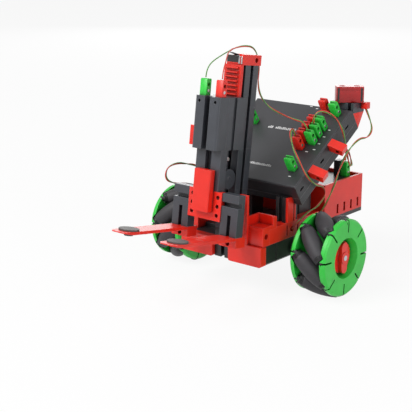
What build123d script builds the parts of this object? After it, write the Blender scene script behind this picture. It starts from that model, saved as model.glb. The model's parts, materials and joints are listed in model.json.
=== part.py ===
from build123d import *

import os
from math import acos, atan2, cos, degrees, floor, pi, radians, sin, sqrt, tan

os.makedirs("parts", exist_ok=True)

# A forklift robot from a construction kit: two driven mecanum wheels, a rear castor, and a lift
# unit that climbs a toothed rack on a leaning mast.
# Millimetres and degrees. The forks point along -Y, the robot's left is +X, and +Z is up.
# It is drawn from the floor point midway between the driven wheels, and written with its origin
# on the floor at the middle of its whole length, from the fork tips to the battery tray.

# ---- Driving sizes -------------------------------------------------------------------------

GRID = 15.0  # pitch of the kit's building blocks
HALF_GRID = GRID / 2
BASE_WIDTH = 75.0  # chassis, across the side girders
DECK_REAR = 91.0  # rear edge of the deck, behind the wheel axle
DECK_THICK = 3.0
BLOCK_LENGTH = 30.0
MAST_BLOCKS = 4  # blocks stacked in the mast
MAST_LEAN = 7.5  # degrees, tipped back
MAST_FRONT = -39.2  # front face of the mast at its foot
SLOT_MOUTH = 3.2  # T-slot of a building block
SLOT_RADIUS = 2.1
SLOT_DEPTH = 2.6

WHEEL_RADIUS = 30.0
WHEEL_WIDTH = 30.0
WHEEL_GAP = 15.0  # chassis side to the wheel's inner face
ROLLERS = 8
ROLLER_PHASE = 14.0  # degrees that the pattern of rollers is turned, at rest
ROLLER_RADIUS = 6.5
ROLLER_LENGTH = 31.0
ROLLER_PIN_RADIUS = 2.2
ROLLER_PIN_LENGTH = 2.4
ROLLER_GAP = 0.5  # around each roller, in the rim
RIM_RADIUS = 28.5
AXLE_RADIUS = 2.0
RUNNING_FIT = 0.05  # radial play of a shaft in its bore
MOVING_GAP = 0.3  # between faces that slide past each other

MOTOR_HEIGHT = 15.0
MOTOR_LENGTH = 66.0
MOTOR_FRONT = -36.0
MOTOR_DROP = 6.5  # motor's underside below the wheel axle
END_PLATE = 6.4

CONTROLLER_WIDTH = 90.0
CONTROLLER_LENGTH = 86.0
CONTROLLER_HEIGHT = 18.0
CONTROLLER_TILT = 32.5
CONTROLLER_FRONT = -12.5  # upper front edge
CONTROLLER_RISE = 40.2  # upper front edge above the motors
COVER_DEPTH = 12.0
SHELL_WALL = 2.0
POST_RISE = 5.6  # front posts above the controller's low edge, along its front

TRAY_FRONT = 38.0
TRAY_TOP = 30.5  # battery tray's rim above the motors

MODULE = 1.0  # lift rack and pinion
PINION_TEETH = 12
TOOTH_PLAY = 0.3
RACK_LENGTH = 60.0
UNIT_WIDTH = 22.5
UNIT_HEIGHT = 37.4
UNIT_BOTTOM = 65.3  # underside of the lift gearbox, up the mast from its foot
FORK_REACH = 89.0  # tine tips ahead of the mast's face
FORK_WIDTH = 15.0
FORK_SPREAD = 45.0  # between the tines' centre lines
FORK_THICK = 2.2
FORK_RISE = 1.5  # degrees that the tines tip up, from square to the mast
GUIDE_RADIUS = 7.3

CASTOR_Y = 66.0
CASTOR_TRAIL = 10.0
CASTOR_RADIUS = 13.0
CASTOR_WIDTH = 8.0

PLUG_WIDTH = 6.0
PLUG_DEPTH = 5.0
PLUG_HEIGHT = 12.5
LEAD_DIAMETER = 1.6  # two-core lead

# ---- Sizes that follow from them -----------------------------------------------------------

half_base = BASE_WIDTH / 2
axle_z = WHEEL_RADIUS
motor_bottom = axle_z - MOTOR_DROP
motor_top = motor_bottom + MOTOR_HEIGHT
deck_top = motor_top + DECK_THICK
motor_rear = MOTOR_FRONT + MOTOR_LENGTH
mast_rear = MAST_FRONT + GRID
wheel_x = half_base + WHEEL_GAP + WHEEL_WIDTH / 2
pieces = {}

up_mast = (0, sin(radians(MAST_LEAN)), cos(radians(MAST_LEAN)))
ahead_mast = (0, -cos(radians(MAST_LEAN)), sin(radians(MAST_LEAN)))
foot = (0, MAST_FRONT, motor_top + 1.5)
# The mast's own axes: x as the robot's, y backwards from the mast's face, z up the mast.
MAST = Plane(origin=foot, x_dir=(1, 0, 0), z_dir=up_mast)
# The same corner seen from the robot's right: x ahead of the mast's face, y up the mast.
MAST_SIDE = Plane(origin=foot, x_dir=ahead_mast, z_dir=(-1, 0, 0))
# The controller's top face: x as the robot's, y up the slope, z out of the face.
slope = (0, -sin(radians(CONTROLLER_TILT)), cos(radians(CONTROLLER_TILT)))
controller_edge = (0, CONTROLLER_FRONT, motor_top + CONTROLLER_RISE)
FACE = Plane(origin=controller_edge, x_dir=(1, 0, 0), z_dir=slope)
SIDE = Plane.YZ  # x is the robot's Y, y is up, and the normal is the robot's X


def ahead(near, far):
    """A range of distances ahead of the mast's face, in the y axis of the MAST plane."""
    return (-far, -near)


def both_ways(size):
    """A range of this size, centred on zero."""
    return (-size / 2, size / 2)


def mirrored(piece):
    """The same piece on the robot's other side."""
    return mirror(piece, about=Plane.YZ)


def box_between(plane, x, y, z):
    """A block between limits measured along a plane's own axes."""
    with BuildPart() as piece:
        with BuildSketch(plane.offset(z[0])):
            with Locations(((x[0] + x[1]) / 2, (y[0] + y[1]) / 2)):
                Rectangle(x[1] - x[0], y[1] - y[0])
        extrude(amount=z[1] - z[0])
    return piece.part


def kit_block(plane, x, y, z, sides="LRFB"):
    """A building block along a plane's normal, with a T-slot down the middle of each named side."""
    middle = ((x[0] + x[1]) / 2, (y[0] + y[1]) / 2)
    places = {
        "L": (x[0], middle[1], 0),
        "R": (x[1], middle[1], 180),
        "F": (middle[0], y[0], 90),
        "B": (middle[0], y[1], -90),
    }
    with BuildPart() as piece:
        with BuildSketch(plane.offset(z[0])):
            with Locations(middle):
                Rectangle(x[1] - x[0], y[1] - y[0])
            for side in sides:
                across, along, turn = places[side]
                with Locations(Location((across, along, 0), (0, 0, turn))):
                    Rectangle(2 * SLOT_DEPTH, SLOT_MOUTH, mode=Mode.SUBTRACT)
                    with Locations((SLOT_DEPTH, 0)):
                        Circle(SLOT_RADIUS, mode=Mode.SUBTRACT)
        extrude(amount=z[1] - z[0])
    return piece.part


def outline_part(plane, points, span):
    """A plate whose straight-sided outline lies in a plane, between two distances along its normal."""
    with BuildPart() as piece:
        with BuildSketch(plane.offset(span[0])):
            with BuildLine():
                Polyline(*points, close=True)
            make_face()
        extrude(amount=span[1] - span[0])
    return piece.part


def rod(plane, centre, radius, span):
    """A round bar along a plane's normal."""
    with BuildPart() as piece:
        with BuildSketch(plane.offset(span[0])):
            with Locations(centre):
                Circle(radius)
        extrude(amount=span[1] - span[0])
    return piece.part


def side_point(plane, across, along, out):
    """Where a point given in a plane's own axes lies in the side view."""
    spot = plane.from_local_coords((across, along, out))
    return (spot.Y, spot.Z)


# ---- Chassis -------------------------------------------------------------------------------


def make_drive_motor():
    """The left geared motor: a long black case with a boss and a bore for the wheel's axle."""
    boss_length = 1.5
    boss_radius = 6.0
    bore_depth = 22.0
    groove = 1.2
    with BuildPart() as motor:
        with BuildSketch(Plane.XZ.offset(-MOTOR_FRONT)):
            with Locations(((half_base + HALF_GRID) / 2, (motor_bottom + motor_top) / 2)):
                Rectangle(half_base - HALF_GRID, MOTOR_HEIGHT)
        extrude(amount=-MOTOR_LENGTH)
        low_edges = motor.edges().filter_by(Axis.Y).group_by(Axis.Z)[0]
        chamfer(low_edges, length=1.5)
        with BuildSketch(SIDE.offset(half_base)):
            with Locations((0, axle_z)):
                Circle(boss_radius)
        extrude(amount=boss_length)
        with BuildSketch(SIDE.offset(half_base + boss_length)):
            with Locations((0, axle_z)):
                Circle(AXLE_RADIUS + RUNNING_FIT)
        extrude(amount=-bore_depth - boss_length, mode=Mode.SUBTRACT)
        with BuildSketch(SIDE.offset(half_base)):
            for y in (MOTOR_FRONT + 12, motor_rear - 12):
                with Locations((y, (motor_bottom + motor_top) / 2)):
                    Rectangle(groove, MOTOR_HEIGHT)
        extrude(amount=-groove, mode=Mode.SUBTRACT)
    return motor.part


drive_motor = make_drive_motor()
pieces["drive_motor_left"] = [drive_motor]
pieces["drive_motor_right"] = [mirrored(drive_motor)]

girder_width = 7.5
girder_front = MOTOR_FRONT + 4.0
tray_floor = motor_top + 11.1
tray_back = -23.5
post_front = -12.0
end_front = MOTOR_FRONT - END_PLATE
tray_front = -40.0
girder_top = motor_top + 12.0
deck_half = half_base - girder_width
deck_front = mast_rear + 1.0  # clear of the angle block, which leans back


def make_deck():
    """The deck plate: narrow between the girders, full width behind the motors."""
    with BuildPart() as deck:
        with BuildSketch(Plane.XY.offset(motor_top)):
            with Locations((0, (deck_front + motor_rear) / 2)):
                Rectangle(2 * deck_half, motor_rear - deck_front)
            with Locations((0, (motor_rear + DECK_REAR) / 2)):
                Rectangle(BASE_WIDTH, DECK_REAR - motor_rear)
        extrude(amount=DECK_THICK)
    return deck.part


def make_girder():
    """The left side girder: stepped down under the front tray, with cross holes and a T-slot."""
    outline = [
        (girder_front, motor_top),
        (motor_rear, motor_top),
        (motor_rear, girder_top),
        (tray_back, girder_top),
        (tray_back, tray_floor),
        (girder_front, tray_floor),
    ]
    hole_pitch = 13.0
    first_hole = -4.5
    notch = (1.4, 8.0)
    with BuildPart() as girder:
        with BuildSketch(SIDE.offset(deck_half)):
            with BuildLine():
                Polyline(*outline, close=True)
            make_face()
            for step in range(3):
                with Locations((first_hole + step * hole_pitch, (motor_top + girder_top) / 2)):
                    Circle(SLOT_RADIUS, mode=Mode.SUBTRACT)
        extrude(amount=girder_width)
        with BuildSketch(SIDE.offset(half_base)):
            for step in range(4):
                with Locations((first_hole - 6.0 + step * hole_pitch, (motor_top + girder_top) / 2)):
                    Rectangle(*notch)
        extrude(amount=-1.0, mode=Mode.SUBTRACT)
    return girder.part


def make_end_plate():
    """The smooth red cap that closes the front of the left motor."""
    plate_z = (motor_bottom + motor_top) / 2
    with BuildPart() as plate:
        with BuildSketch(Plane.XZ.offset(-MOTOR_FRONT)):
            with Locations(((half_base + HALF_GRID) / 2, plate_z)):
                RectangleRounded(half_base - HALF_GRID, MOTOR_HEIGHT, 1.5)
        extrude(amount=END_PLATE)
    return plate.part


upright_x = (18.0, 24.8)
upright_height = 36.5


def make_upright():
    """A red strip that stands on the left end plate, with a groove down its front."""
    groove = (1.2, 0.8)
    with BuildPart() as upright:
        with BuildSketch(Plane.XY.offset(motor_top)):
            with Locations((sum(upright_x) / 2, (end_front + tray_front) / 2)):
                Rectangle(upright_x[1] - upright_x[0], tray_front - end_front)
            with Locations((upright_x[0] + 2.4, end_front)):
                Rectangle(groove[0], 2 * groove[1], mode=Mode.SUBTRACT)
        extrude(amount=upright_height)
    return upright.part


def make_angle_block():
    """The wedge that tips the mast back, from the flat foot block to the lowest mast block."""
    outline = [
        (MAST_FRONT, motor_top),
        (mast_rear, motor_top),
        side_point(MAST, 0, GRID, mast_start),
        side_point(MAST, 0, 0, mast_start),
    ]
    return outline_part(SIDE, outline, both_ways(GRID))


mast_start = 5.5  # lowest mast block, up the mast from its foot
mast_top = mast_start + MAST_BLOCKS * BLOCK_LENGTH

front_post_x = (half_base - 9.5, half_base - 1.0)
front_post_y = (post_front, post_front + GRID)
rear_post_y = (motor_rear - GRID, motor_rear)


def under_controller(y):
    """Height of the controller's sloping underside above a point of the deck."""
    low = FACE.from_local_coords((0, 0, -CONTROLLER_HEIGHT))
    return low.Z + max(y - low.Y, 0) * tan(radians(CONTROLLER_TILT))


def make_post(y, bottom):
    """The outline of a post under the controller: flat foot, top cut to the slope and to its front."""
    low_edge = FACE.from_local_coords((0, 0, -CONTROLLER_HEIGHT)).Y
    outline = [(y[0], bottom), (y[1], bottom), (y[1], under_controller(y[1]))]
    rise = 0.0
    if y[0] < low_edge < y[1]:
        rise = POST_RISE
        outline.append((low_edge, under_controller(low_edge)))
        outline.append((low_edge - rise * tan(radians(CONTROLLER_TILT)), under_controller(low_edge) + rise))
    outline.append((y[0], under_controller(y[0]) + rise))
    return outline


def make_front_post():
    """The left post between the girder and the controller's front, with a groove down its front."""
    with BuildPart() as post:
        with BuildSketch(SIDE.offset(front_post_x[0])):
            with BuildLine():
                Polyline(*make_post(front_post_y, girder_top), close=True)
            make_face()
        extrude(amount=front_post_x[1] - front_post_x[0])
        with BuildSketch(Plane.XY.offset(girder_top)):
            with Locations((sum(front_post_x) / 2, front_post_y[0])):
                Rectangle(SLOT_MOUTH, 2 * SLOT_DEPTH)
        extrude(amount=4 * GRID, mode=Mode.SUBTRACT)
    return post.part


front_post = make_front_post()
rear_post = outline_part(SIDE, make_post(rear_post_y, deck_top), (deck_half - GRID, deck_half))

pieces["chassis_plates"] = [
    make_deck(),
    kit_block(Plane.XY, both_ways(GRID), (MAST_FRONT, mast_rear), (motor_bottom, motor_top), "F"),
    kit_block(Plane.XZ, both_ways(GRID), (motor_bottom, motor_top), (-motor_rear, -mast_rear), ""),
    make_angle_block(),
    front_post,
    mirrored(front_post),
    rear_post,
    mirrored(rear_post),
]

def make_post_plate():
    """The red plate on the left front post's outer side, with an upright slit."""
    y = (front_post_y[0] + 0.5, front_post_y[0] + 10.5)
    thick = 2.0
    slit = 1.2
    with BuildPart() as plate:
        with BuildSketch(SIDE.offset(front_post_x[1])):
            with BuildLine():
                Polyline(*make_post(y, girder_top), close=True)
            make_face()
            with Locations((y[1] - 2.4, girder_top + HALF_GRID)):
                Rectangle(slit, GRID, mode=Mode.SUBTRACT)
        extrude(amount=thick)
    return plate.part


girder = make_girder()
end_plate = make_end_plate()
upright = make_upright()
post_plate = make_post_plate()
pieces["frame_girders"] = [
    girder,
    mirrored(girder),
    end_plate,
    mirrored(end_plate),
    upright,
    post_plate,
    mirrored(post_plate),
]


def make_front_tray():
    """The red tray over the left motor's front end: a floor, two full walls and a corner post."""
    inner = 21.0
    height = 8.8
    wall = 1.6
    lip = 1.2
    corner = 4.0
    middle = ((inner + half_base) / 2, (tray_front + tray_back) / 2)
    with BuildPart() as tray:
        with BuildSketch(Plane.XY.offset(tray_floor)):
            with Locations(middle):
                Rectangle(half_base - inner, tray_back - tray_front)
        extrude(amount=height)
        with BuildSketch(Plane.XY.offset(tray_floor + wall)):
            with Locations(middle):
                Rectangle(half_base - inner - 2 * wall, tray_back - tray_front - 2 * wall)
        extrude(amount=height, mode=Mode.SUBTRACT)
        with BuildSketch(Plane.XY.offset(tray_floor + wall + lip)):
            with Locations(((inner + wall + half_base) / 2, tray_front + wall / 2)):
                Rectangle(half_base - inner - wall, wall)
            with Locations((half_base - wall / 2, (tray_front + tray_back - corner) / 2)):
                Rectangle(wall, tray_back - corner - tray_front)
        extrude(amount=height, mode=Mode.SUBTRACT)
    return tray.part


def make_tray_block():
    """The red block that carries the tray's front corner, beside the upright."""
    hole_y = (tray_front + girder_front) / 2
    with BuildPart() as block:
        with BuildSketch(Plane.XY.offset(motor_top)):
            with Locations(((upright_x[1] + half_base) / 2, hole_y)):
                Rectangle(half_base - upright_x[1], girder_front - tray_front)
        extrude(amount=tray_floor - motor_top)
        with BuildSketch(SIDE.offset(half_base)):
            with Locations((hole_y, tray_floor - 4.0)):
                Circle(SLOT_RADIUS)
        extrude(amount=-5.0, mode=Mode.SUBTRACT)
    return block.part


pieces["front_tray"] = [make_front_tray(), make_tray_block()]

# ---- Castor --------------------------------------------------------------------------------

bracket_thick = 3.0
bracket_bottom = motor_top - bracket_thick
castor_pin_radius = 2.0
castor_axle_radius = 1.5
castor_axle_y = CASTOR_Y + CASTOR_TRAIL
leg_inner = CASTOR_WIDTH / 2 + 0.4
leg_thick = 2.0
fork_plate_top = bracket_bottom - MOVING_GAP
fork_plate_thick = 3.0
fork_head_radius = 8.0
leg_root = 4.5  # half the width of a leg at the head
leg_end = 3.5  # and at the wheel's axle


def make_castor_bracket():
    """The plate under the rear deck, with the bore that the castor turns in."""
    with BuildPart() as bracket:
        with BuildSketch(Plane.XY.offset(bracket_bottom)):
            with Locations((0, CASTOR_Y)):
                RectangleRounded(2 * GRID, 2 * GRID, 2.0)
                Circle(castor_pin_radius + RUNNING_FIT, mode=Mode.SUBTRACT)
        extrude(amount=bracket_thick)
    return bracket.part


def make_castor_fork():
    """A round head with a pin above and two legs that trail back to the wheel's axle."""
    leg_top = fork_plate_top - fork_plate_thick
    with BuildPart() as fork:
        with BuildSketch(Plane.XY.offset(leg_top)):
            with Locations((0, CASTOR_Y)):
                Circle(fork_head_radius)
        extrude(amount=fork_plate_thick)
        with BuildSketch(Plane.XY.offset(fork_plate_top)):
            with Locations((0, CASTOR_Y)):
                Circle(castor_pin_radius)
        extrude(amount=bracket_thick)
        for x in (leg_inner, -leg_inner - leg_thick):
            with BuildSketch(SIDE.offset(x)):
                with BuildLine():
                    Polyline(
                        (CASTOR_Y - leg_root, leg_top),
                        (CASTOR_Y + leg_root, leg_top),
                        (castor_axle_y + leg_end, CASTOR_RADIUS),
                        (castor_axle_y - leg_end, CASTOR_RADIUS),
                        close=True,
                    )
                make_face()
                with Locations((castor_axle_y, CASTOR_RADIUS)):
                    Circle(leg_end)
                    Circle(castor_axle_radius + RUNNING_FIT, mode=Mode.SUBTRACT)
            extrude(amount=leg_thick)
    return fork.part


def make_castor_wheel():
    """A small wheel with a rounded tread and its axle."""
    with BuildPart() as wheel:
        with BuildSketch(SIDE.offset(-CASTOR_WIDTH / 2)):
            with Locations((castor_axle_y, CASTOR_RADIUS)):
                Circle(CASTOR_RADIUS)
        extrude(amount=CASTOR_WIDTH)
        fillet(wheel.edges().filter_by(GeomType.CIRCLE), radius=1.5)
        with BuildSketch(SIDE.offset(-leg_inner - leg_thick)):
            with Locations((castor_axle_y, CASTOR_RADIUS)):
                Circle(castor_axle_radius)
        extrude(amount=2 * (leg_inner + leg_thick))
    return wheel.part


pieces["castor_bracket"] = [make_castor_bracket()]
pieces["castor_fork"] = [make_castor_fork()]
pieces["castor_wheel"] = [make_castor_wheel()]

# ---- Mecanum wheels ------------------------------------------------------------------------

roller_offset = WHEEL_RADIUS - ROLLER_RADIUS  # roller axis from the wheel's axis
roller_half = ROLLER_LENGTH / 2
roller_end_reach = sqrt(roller_offset**2 + roller_half**2 / 2)  # a roller's end, from the wheel's axis
roller_end_radius = (WHEEL_RADIUS - roller_end_reach) / sqrt(1 - (roller_half / roller_end_reach / 2) ** 2)
rim_barrel = roller_offset - ROLLER_RADIUS - ROLLER_GAP
disc_inner = roller_half / sqrt(2) - 0.15  # the rim's side discs start here, from the wheel's middle
funnel_mouth = 15.0
funnel_throat = 12.2
funnel_depth = 8.0


def make_roller():
    """A barrel roller with its two end pins, standing on the origin along Z."""
    tip = roller_half + ROLLER_PIN_LENGTH
    with BuildPart() as roller:
        with BuildSketch(Plane.XZ):
            with BuildLine():
                ThreePointArc(
                    (roller_end_radius, -roller_half), (ROLLER_RADIUS, 0), (roller_end_radius, roller_half)
                )
                Polyline(
                    (roller_end_radius, roller_half),
                    (ROLLER_PIN_RADIUS, roller_half),
                    (ROLLER_PIN_RADIUS, tip),
                    (0, tip),
                    (0, -tip),
                    (ROLLER_PIN_RADIUS, -tip),
                    (ROLLER_PIN_RADIUS, -roller_half),
                    (roller_end_radius, -roller_half),
                )
            make_face()
        revolve(axis=Axis.Z)
    return roller.part


def make_roller_room():
    """The space that a roller and its pins need in the rim."""
    tip = roller_half + ROLLER_PIN_LENGTH + ROLLER_GAP
    end = roller_half + ROLLER_GAP
    bore = ROLLER_PIN_RADIUS + 0.08
    with BuildPart() as room:
        with BuildSketch(Plane.XZ):
            with BuildLine():
                ThreePointArc(
                    (roller_end_radius + ROLLER_GAP, -end),
                    (ROLLER_RADIUS + ROLLER_GAP, 0),
                    (roller_end_radius + ROLLER_GAP, end),
                )
                Polyline(
                    (roller_end_radius + ROLLER_GAP, end),
                    (bore, end),
                    (bore, tip),
                    (0, tip),
                    (0, -tip),
                    (bore, -tip),
                    (bore, -end),
                    (roller_end_radius + ROLLER_GAP, -end),
                )
            make_face()
        revolve(axis=Axis.Z)
    return room.part


def roller_place(number):
    """Where a roller of the left wheel stands: its plane's normal is the roller's axis."""
    angle = 180 + ROLLER_PHASE + number * 360 / ROLLERS
    outward = (0, -sin(radians(angle)), cos(radians(angle)))
    along = (1, -cos(radians(angle)), -sin(radians(angle)))
    centre = (wheel_x, roller_offset * outward[1], axle_z + roller_offset * outward[2])
    return Plane(origin=centre, x_dir=outward, z_dir=along).location


# The left wheel's own axes: x up, y ahead, z outwards along the axle.
WHEEL = Plane(origin=(wheel_x, 0, axle_z), x_dir=(0, 0, 1), z_dir=(1, 0, 0))
# A section through it: x is the distance from the axle, y runs along the axle, inwards.
WHEEL_SECTION = Plane(origin=(wheel_x, 0, axle_z), x_dir=(0, 0, 1), z_dir=(0, -1, 0))
wheel_half = WHEEL_WIDTH / 2


def make_rim():
    """The green rim: barrel, two side discs cut into petals, and a funnel down to the hub."""
    pin_middle = (roller_half + ROLLER_PIN_LENGTH / 2) / sqrt(2)
    pin_angle = degrees(atan2(pin_middle, roller_offset))
    slit = 1.3
    slit_start = 19.0
    petal_corner = 4.0
    petal_gap = 2.2
    edge = 1.4
    hub_radius = 7.0
    back_recess = 7.0
    room = make_roller_room()
    with BuildPart() as rim:
        with BuildSketch(WHEEL_SECTION):
            with BuildLine():
                Polyline(
                    (AXLE_RADIUS, wheel_half),
                    (AXLE_RADIUS, funnel_depth - wheel_half),
                    (funnel_throat, funnel_depth - wheel_half),
                    (funnel_mouth, -wheel_half),
                    (RIM_RADIUS - edge, -wheel_half),
                    (RIM_RADIUS, -wheel_half + edge),
                    (RIM_RADIUS, -disc_inner),
                    (rim_barrel, -disc_inner + 1.0),
                    (rim_barrel, disc_inner - 1.0),
                    (RIM_RADIUS, disc_inner),
                    (RIM_RADIUS, wheel_half - edge),
                    (RIM_RADIUS - edge, wheel_half),
                    (funnel_mouth, wheel_half),
                    (funnel_mouth, wheel_half - back_recess),
                    (hub_radius, wheel_half - back_recess),
                    (hub_radius, wheel_half),
                    close=True,
                )
            make_face()
        revolve(axis=Axis(origin=WHEEL.origin, direction=(1, 0, 0)))
        for number in range(ROLLERS):
            add(room.moved(roller_place(number)), mode=Mode.SUBTRACT)
        for out, turn in ((1, pin_angle), (-1, -pin_angle)):
            with BuildSketch(WHEEL.offset(out * wheel_half)):
                for number in range(ROLLERS):
                    with Locations(Location((0, 0, 0), (0, 0, 180 + ROLLER_PHASE + turn + number * 360 / ROLLERS))):
                        with Locations(((slit_start + RIM_RADIUS) / 2 + 1, 0)):
                            Rectangle(RIM_RADIUS - slit_start + 2, slit)
                        with BuildLine():
                            Polyline(
                                (RIM_RADIUS - petal_corner, 0),
                                (RIM_RADIUS + 1, -petal_gap),
                                (RIM_RADIUS + 1, petal_gap),
                                close=True,
                            )
                        make_face()
            extrude(amount=-out * (wheel_half - disc_inner + 1.0), mode=Mode.SUBTRACT)
    return rim.part


def make_hub_nut():
    """The red winged nut that clamps the rim to its axle: a ribbed disc, a bar across it and a collar."""
    base = funnel_depth - wheel_half  # inwards from the wheel's middle
    clear = 0.6
    disc_thick = 3.6
    disc_radius = funnel_throat - clear
    bar_half = 3.6
    bar_out = base - disc_thick - 3.0
    collar = 4.4
    ribs = 24
    with BuildPart() as nut:
        with BuildSketch(WHEEL_SECTION):
            with BuildLine():
                Polyline(
                    (AXLE_RADIUS, base),
                    (disc_radius, base),
                    (disc_radius, base - disc_thick),
                    (collar, base - disc_thick),
                    (collar, bar_out - 0.6),
                    (AXLE_RADIUS, bar_out - 0.6),
                    close=True,
                )
            make_face()
        revolve(axis=Axis(origin=WHEEL.origin, direction=(1, 0, 0)))
        with BuildSketch(WHEEL.offset(-base + disc_thick)):
            with PolarLocations(disc_radius, ribs):
                Circle(0.6)
        extrude(amount=-disc_thick, mode=Mode.SUBTRACT)
        with BuildSketch(WHEEL.offset(-base + disc_thick)):
            SlotOverall(2 * disc_radius, 2 * bar_half)
            Circle(collar - 1.0, mode=Mode.SUBTRACT)
        extrude(amount=-bar_out + base - disc_thick)
    return nut.part


roller = make_roller()
rim = make_rim()
hub_nut = make_hub_nut()
axle_inner = half_base - 20.0
axle_outer = wheel_x + wheel_half - 0.6
wheel_axle = rod(SIDE, (0, axle_z), AXLE_RADIUS, (axle_inner, axle_outer))

for side in ("left", "right"):
    place = mirrored if side == "right" else (lambda piece: piece)
    pieces["wheel_rim_" + side] = [place(rim)]
    pieces["hub_nut_" + side] = [place(hub_nut)]
    pieces["wheel_axle_" + side] = [place(wheel_axle)]
    for number in range(ROLLERS):
        pieces[f"roller_{side}_{number + 1}"] = [place(roller.moved(roller_place(number)))]

# ---- Mast ----------------------------------------------------------------------------------

pieces["mast_column"] = [
    kit_block(MAST, both_ways(GRID), (0, GRID), (start, start + BLOCK_LENGTH))
    for start in [mast_start + number * BLOCK_LENGTH for number in range(MAST_BLOCKS)]
]

cap_front = 3.4
cap_rear = -19.0
cap_height = 7.5
cap_hole = -12.0
pocket_back = -4.0  # the switch's pocket, in the cap's front right corner
pocket_side = 3.5
pocket_floor = mast_top + 1.5


def make_mast_cap():
    """The red piece on top of the mast, with a cross hole and a pocket for the end-stop switch."""
    middle = (cap_front + cap_rear) / 2
    with BuildPart() as cap:
        with BuildSketch(MAST.offset(mast_top)):
            with Locations((0, -middle)):
                Rectangle(GRID, cap_front - cap_rear)
        extrude(amount=cap_height)
        rear_edges = cap.edges().filter_by(Axis(foot, up_mast)).sort_by(Axis.Y)[-2:]
        chamfer(rear_edges, length=1.5)
        with BuildSketch(MAST.offset(pocket_floor)):
            with Locations(((pocket_side - HALF_GRID) / 2, -(cap_front + pocket_back) / 2)):
                Rectangle(pocket_side + HALF_GRID, cap_front - pocket_back)
        extrude(amount=cap_height, mode=Mode.SUBTRACT)
        with BuildSketch(MAST_SIDE):
            with Locations((cap_hole, mast_top + cap_height / 2)):
                Circle(1.8)
        extrude(amount=GRID, both=True, mode=Mode.SUBTRACT)
    return cap.part


def make_limit_switch():
    """The end-stop switch in the cap's pocket: a small case with a slanted lever on top."""
    high = mast_top + cap_height - 1.0
    lever = (-HALF_GRID + 2.0, -HALF_GRID + 5.0)
    with BuildPart() as switch:
        with BuildSketch(MAST.offset(pocket_floor)):
            with Locations(((pocket_side - HALF_GRID) / 2, -(cap_front + pocket_back) / 2)):
                Rectangle(pocket_side + HALF_GRID, cap_front - pocket_back)
        extrude(amount=high - pocket_floor)
        with BuildSketch(MAST_SIDE.offset(-lever[1])):
            with BuildLine():
                Polyline(
                    (pocket_back + 1.0, high),
                    (cap_front, high + 1.4),
                    (cap_front, high + 1.9),
                    (pocket_back + 1.0, high + 0.8),
                    close=True,
                )
            make_face()
        extrude(amount=lever[1] - lever[0])
    return switch.part


pieces["mast_cap"] = [make_mast_cap()]
pieces["limit_switch"] = [make_limit_switch()]

# ---- Rack and pinion -----------------------------------------------------------------------

strip_width = 8.0
strip_depth = 2.6
rack_root = 5.5
tooth_rise = 0.65 * MODULE
pitch_radius = MODULE * PINION_TEETH / 2
rack_pitch_line = rack_root + 1.25 * MODULE
pinion_n = rack_pitch_line + pitch_radius
pinion_t = UNIT_BOTTOM + UNIT_HEIGHT / 2
rack_bottom = mast_top - RACK_LENGTH
pressure_angle = radians(20)
tooth_thick = pi * MODULE / 2 - TOOTH_PLAY / 2
pinion_width = 10.0


def make_lift_rack():
    """The toothed rack: a strip on the mast's face, a wider back that the lift hooks round, teeth."""
    lowest = floor((rack_bottom - pinion_t) / (pi * MODULE)) + 1
    highest = floor((mast_top - pinion_t) / (pi * MODULE)) - 1
    with BuildPart() as rack:
        with BuildSketch(MAST.offset(rack_bottom)):
            with Locations((0, -rack_root / 2)):
                Rectangle(strip_width, rack_root)
            with Locations((0, -(strip_depth + rack_root) / 2)):
                Rectangle(GRID, rack_root - strip_depth)
        extrude(amount=RACK_LENGTH)
        root_half = tooth_thick / 2 + (rack_pitch_line - rack_root) * tan(pressure_angle)
        tip_half = tooth_thick / 2 - tooth_rise * tan(pressure_angle)
        with BuildSketch(MAST_SIDE):
            for number in range(lowest, highest + 1):
                centre = pinion_t + (number + 0.5) * pi * MODULE
                with BuildLine():
                    Polyline(
                        (rack_root - 0.5, centre - root_half),
                        (rack_root, centre - root_half),
                        (rack_pitch_line + tooth_rise, centre - tip_half),
                        (rack_pitch_line + tooth_rise, centre + tip_half),
                        (rack_root, centre + root_half),
                        (rack_root - 0.5, centre + root_half),
                        close=True,
                    )
                make_face()
        extrude(amount=5.5, both=True)
    return rack.part


def tooth_half_angle(radius):
    """Half the angle that an involute pinion tooth fills at a radius."""
    base = pitch_radius * cos(pressure_angle)
    slant = acos(min(base / radius, 1.0))
    involute = tan(pressure_angle) - pressure_angle - (tan(slant) - slant)
    return tooth_thick / (2 * pitch_radius) + involute


def make_lift_pinion():
    """The pinion on its shaft. One tooth points straight at the rack when the lift is at rest."""
    root = pitch_radius - 1.2 * MODULE
    tip = pitch_radius + 0.75 * MODULE
    flank = [root + (tip - root) * step / 6 for step in range(7)]
    outline = []
    for number in range(PINION_TEETH):
        middle = pi + number * 2 * pi / PINION_TEETH
        turned = [(radius, middle - tooth_half_angle(radius)) for radius in flank]
        turned += [(radius, middle + tooth_half_angle(radius)) for radius in reversed(flank)]
        outline += [(pinion_n + r * cos(a), pinion_t + r * sin(a)) for r, a in turned]
    with BuildPart() as pinion:
        with BuildSketch(MAST_SIDE):
            with BuildLine():
                Polyline(*outline, close=True)
            make_face()
        extrude(amount=pinion_width / 2, both=True)
        with BuildSketch(MAST_SIDE):
            with Locations((pinion_n, pinion_t)):
                Circle(AXLE_RADIUS)
        extrude(amount=8.5, both=True)
    return pinion.part


pieces["lift_rack"] = [make_lift_rack()]
pieces["lift_pinion"] = [make_lift_pinion()]

# ---- Lift unit -----------------------------------------------------------------------------

unit_top = UNIT_BOTTOM + UNIT_HEIGHT
hook_back = 0.4
motor_start = pinion_n + pitch_radius + MODULE + 0.45
motor_front = 31.0


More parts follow.
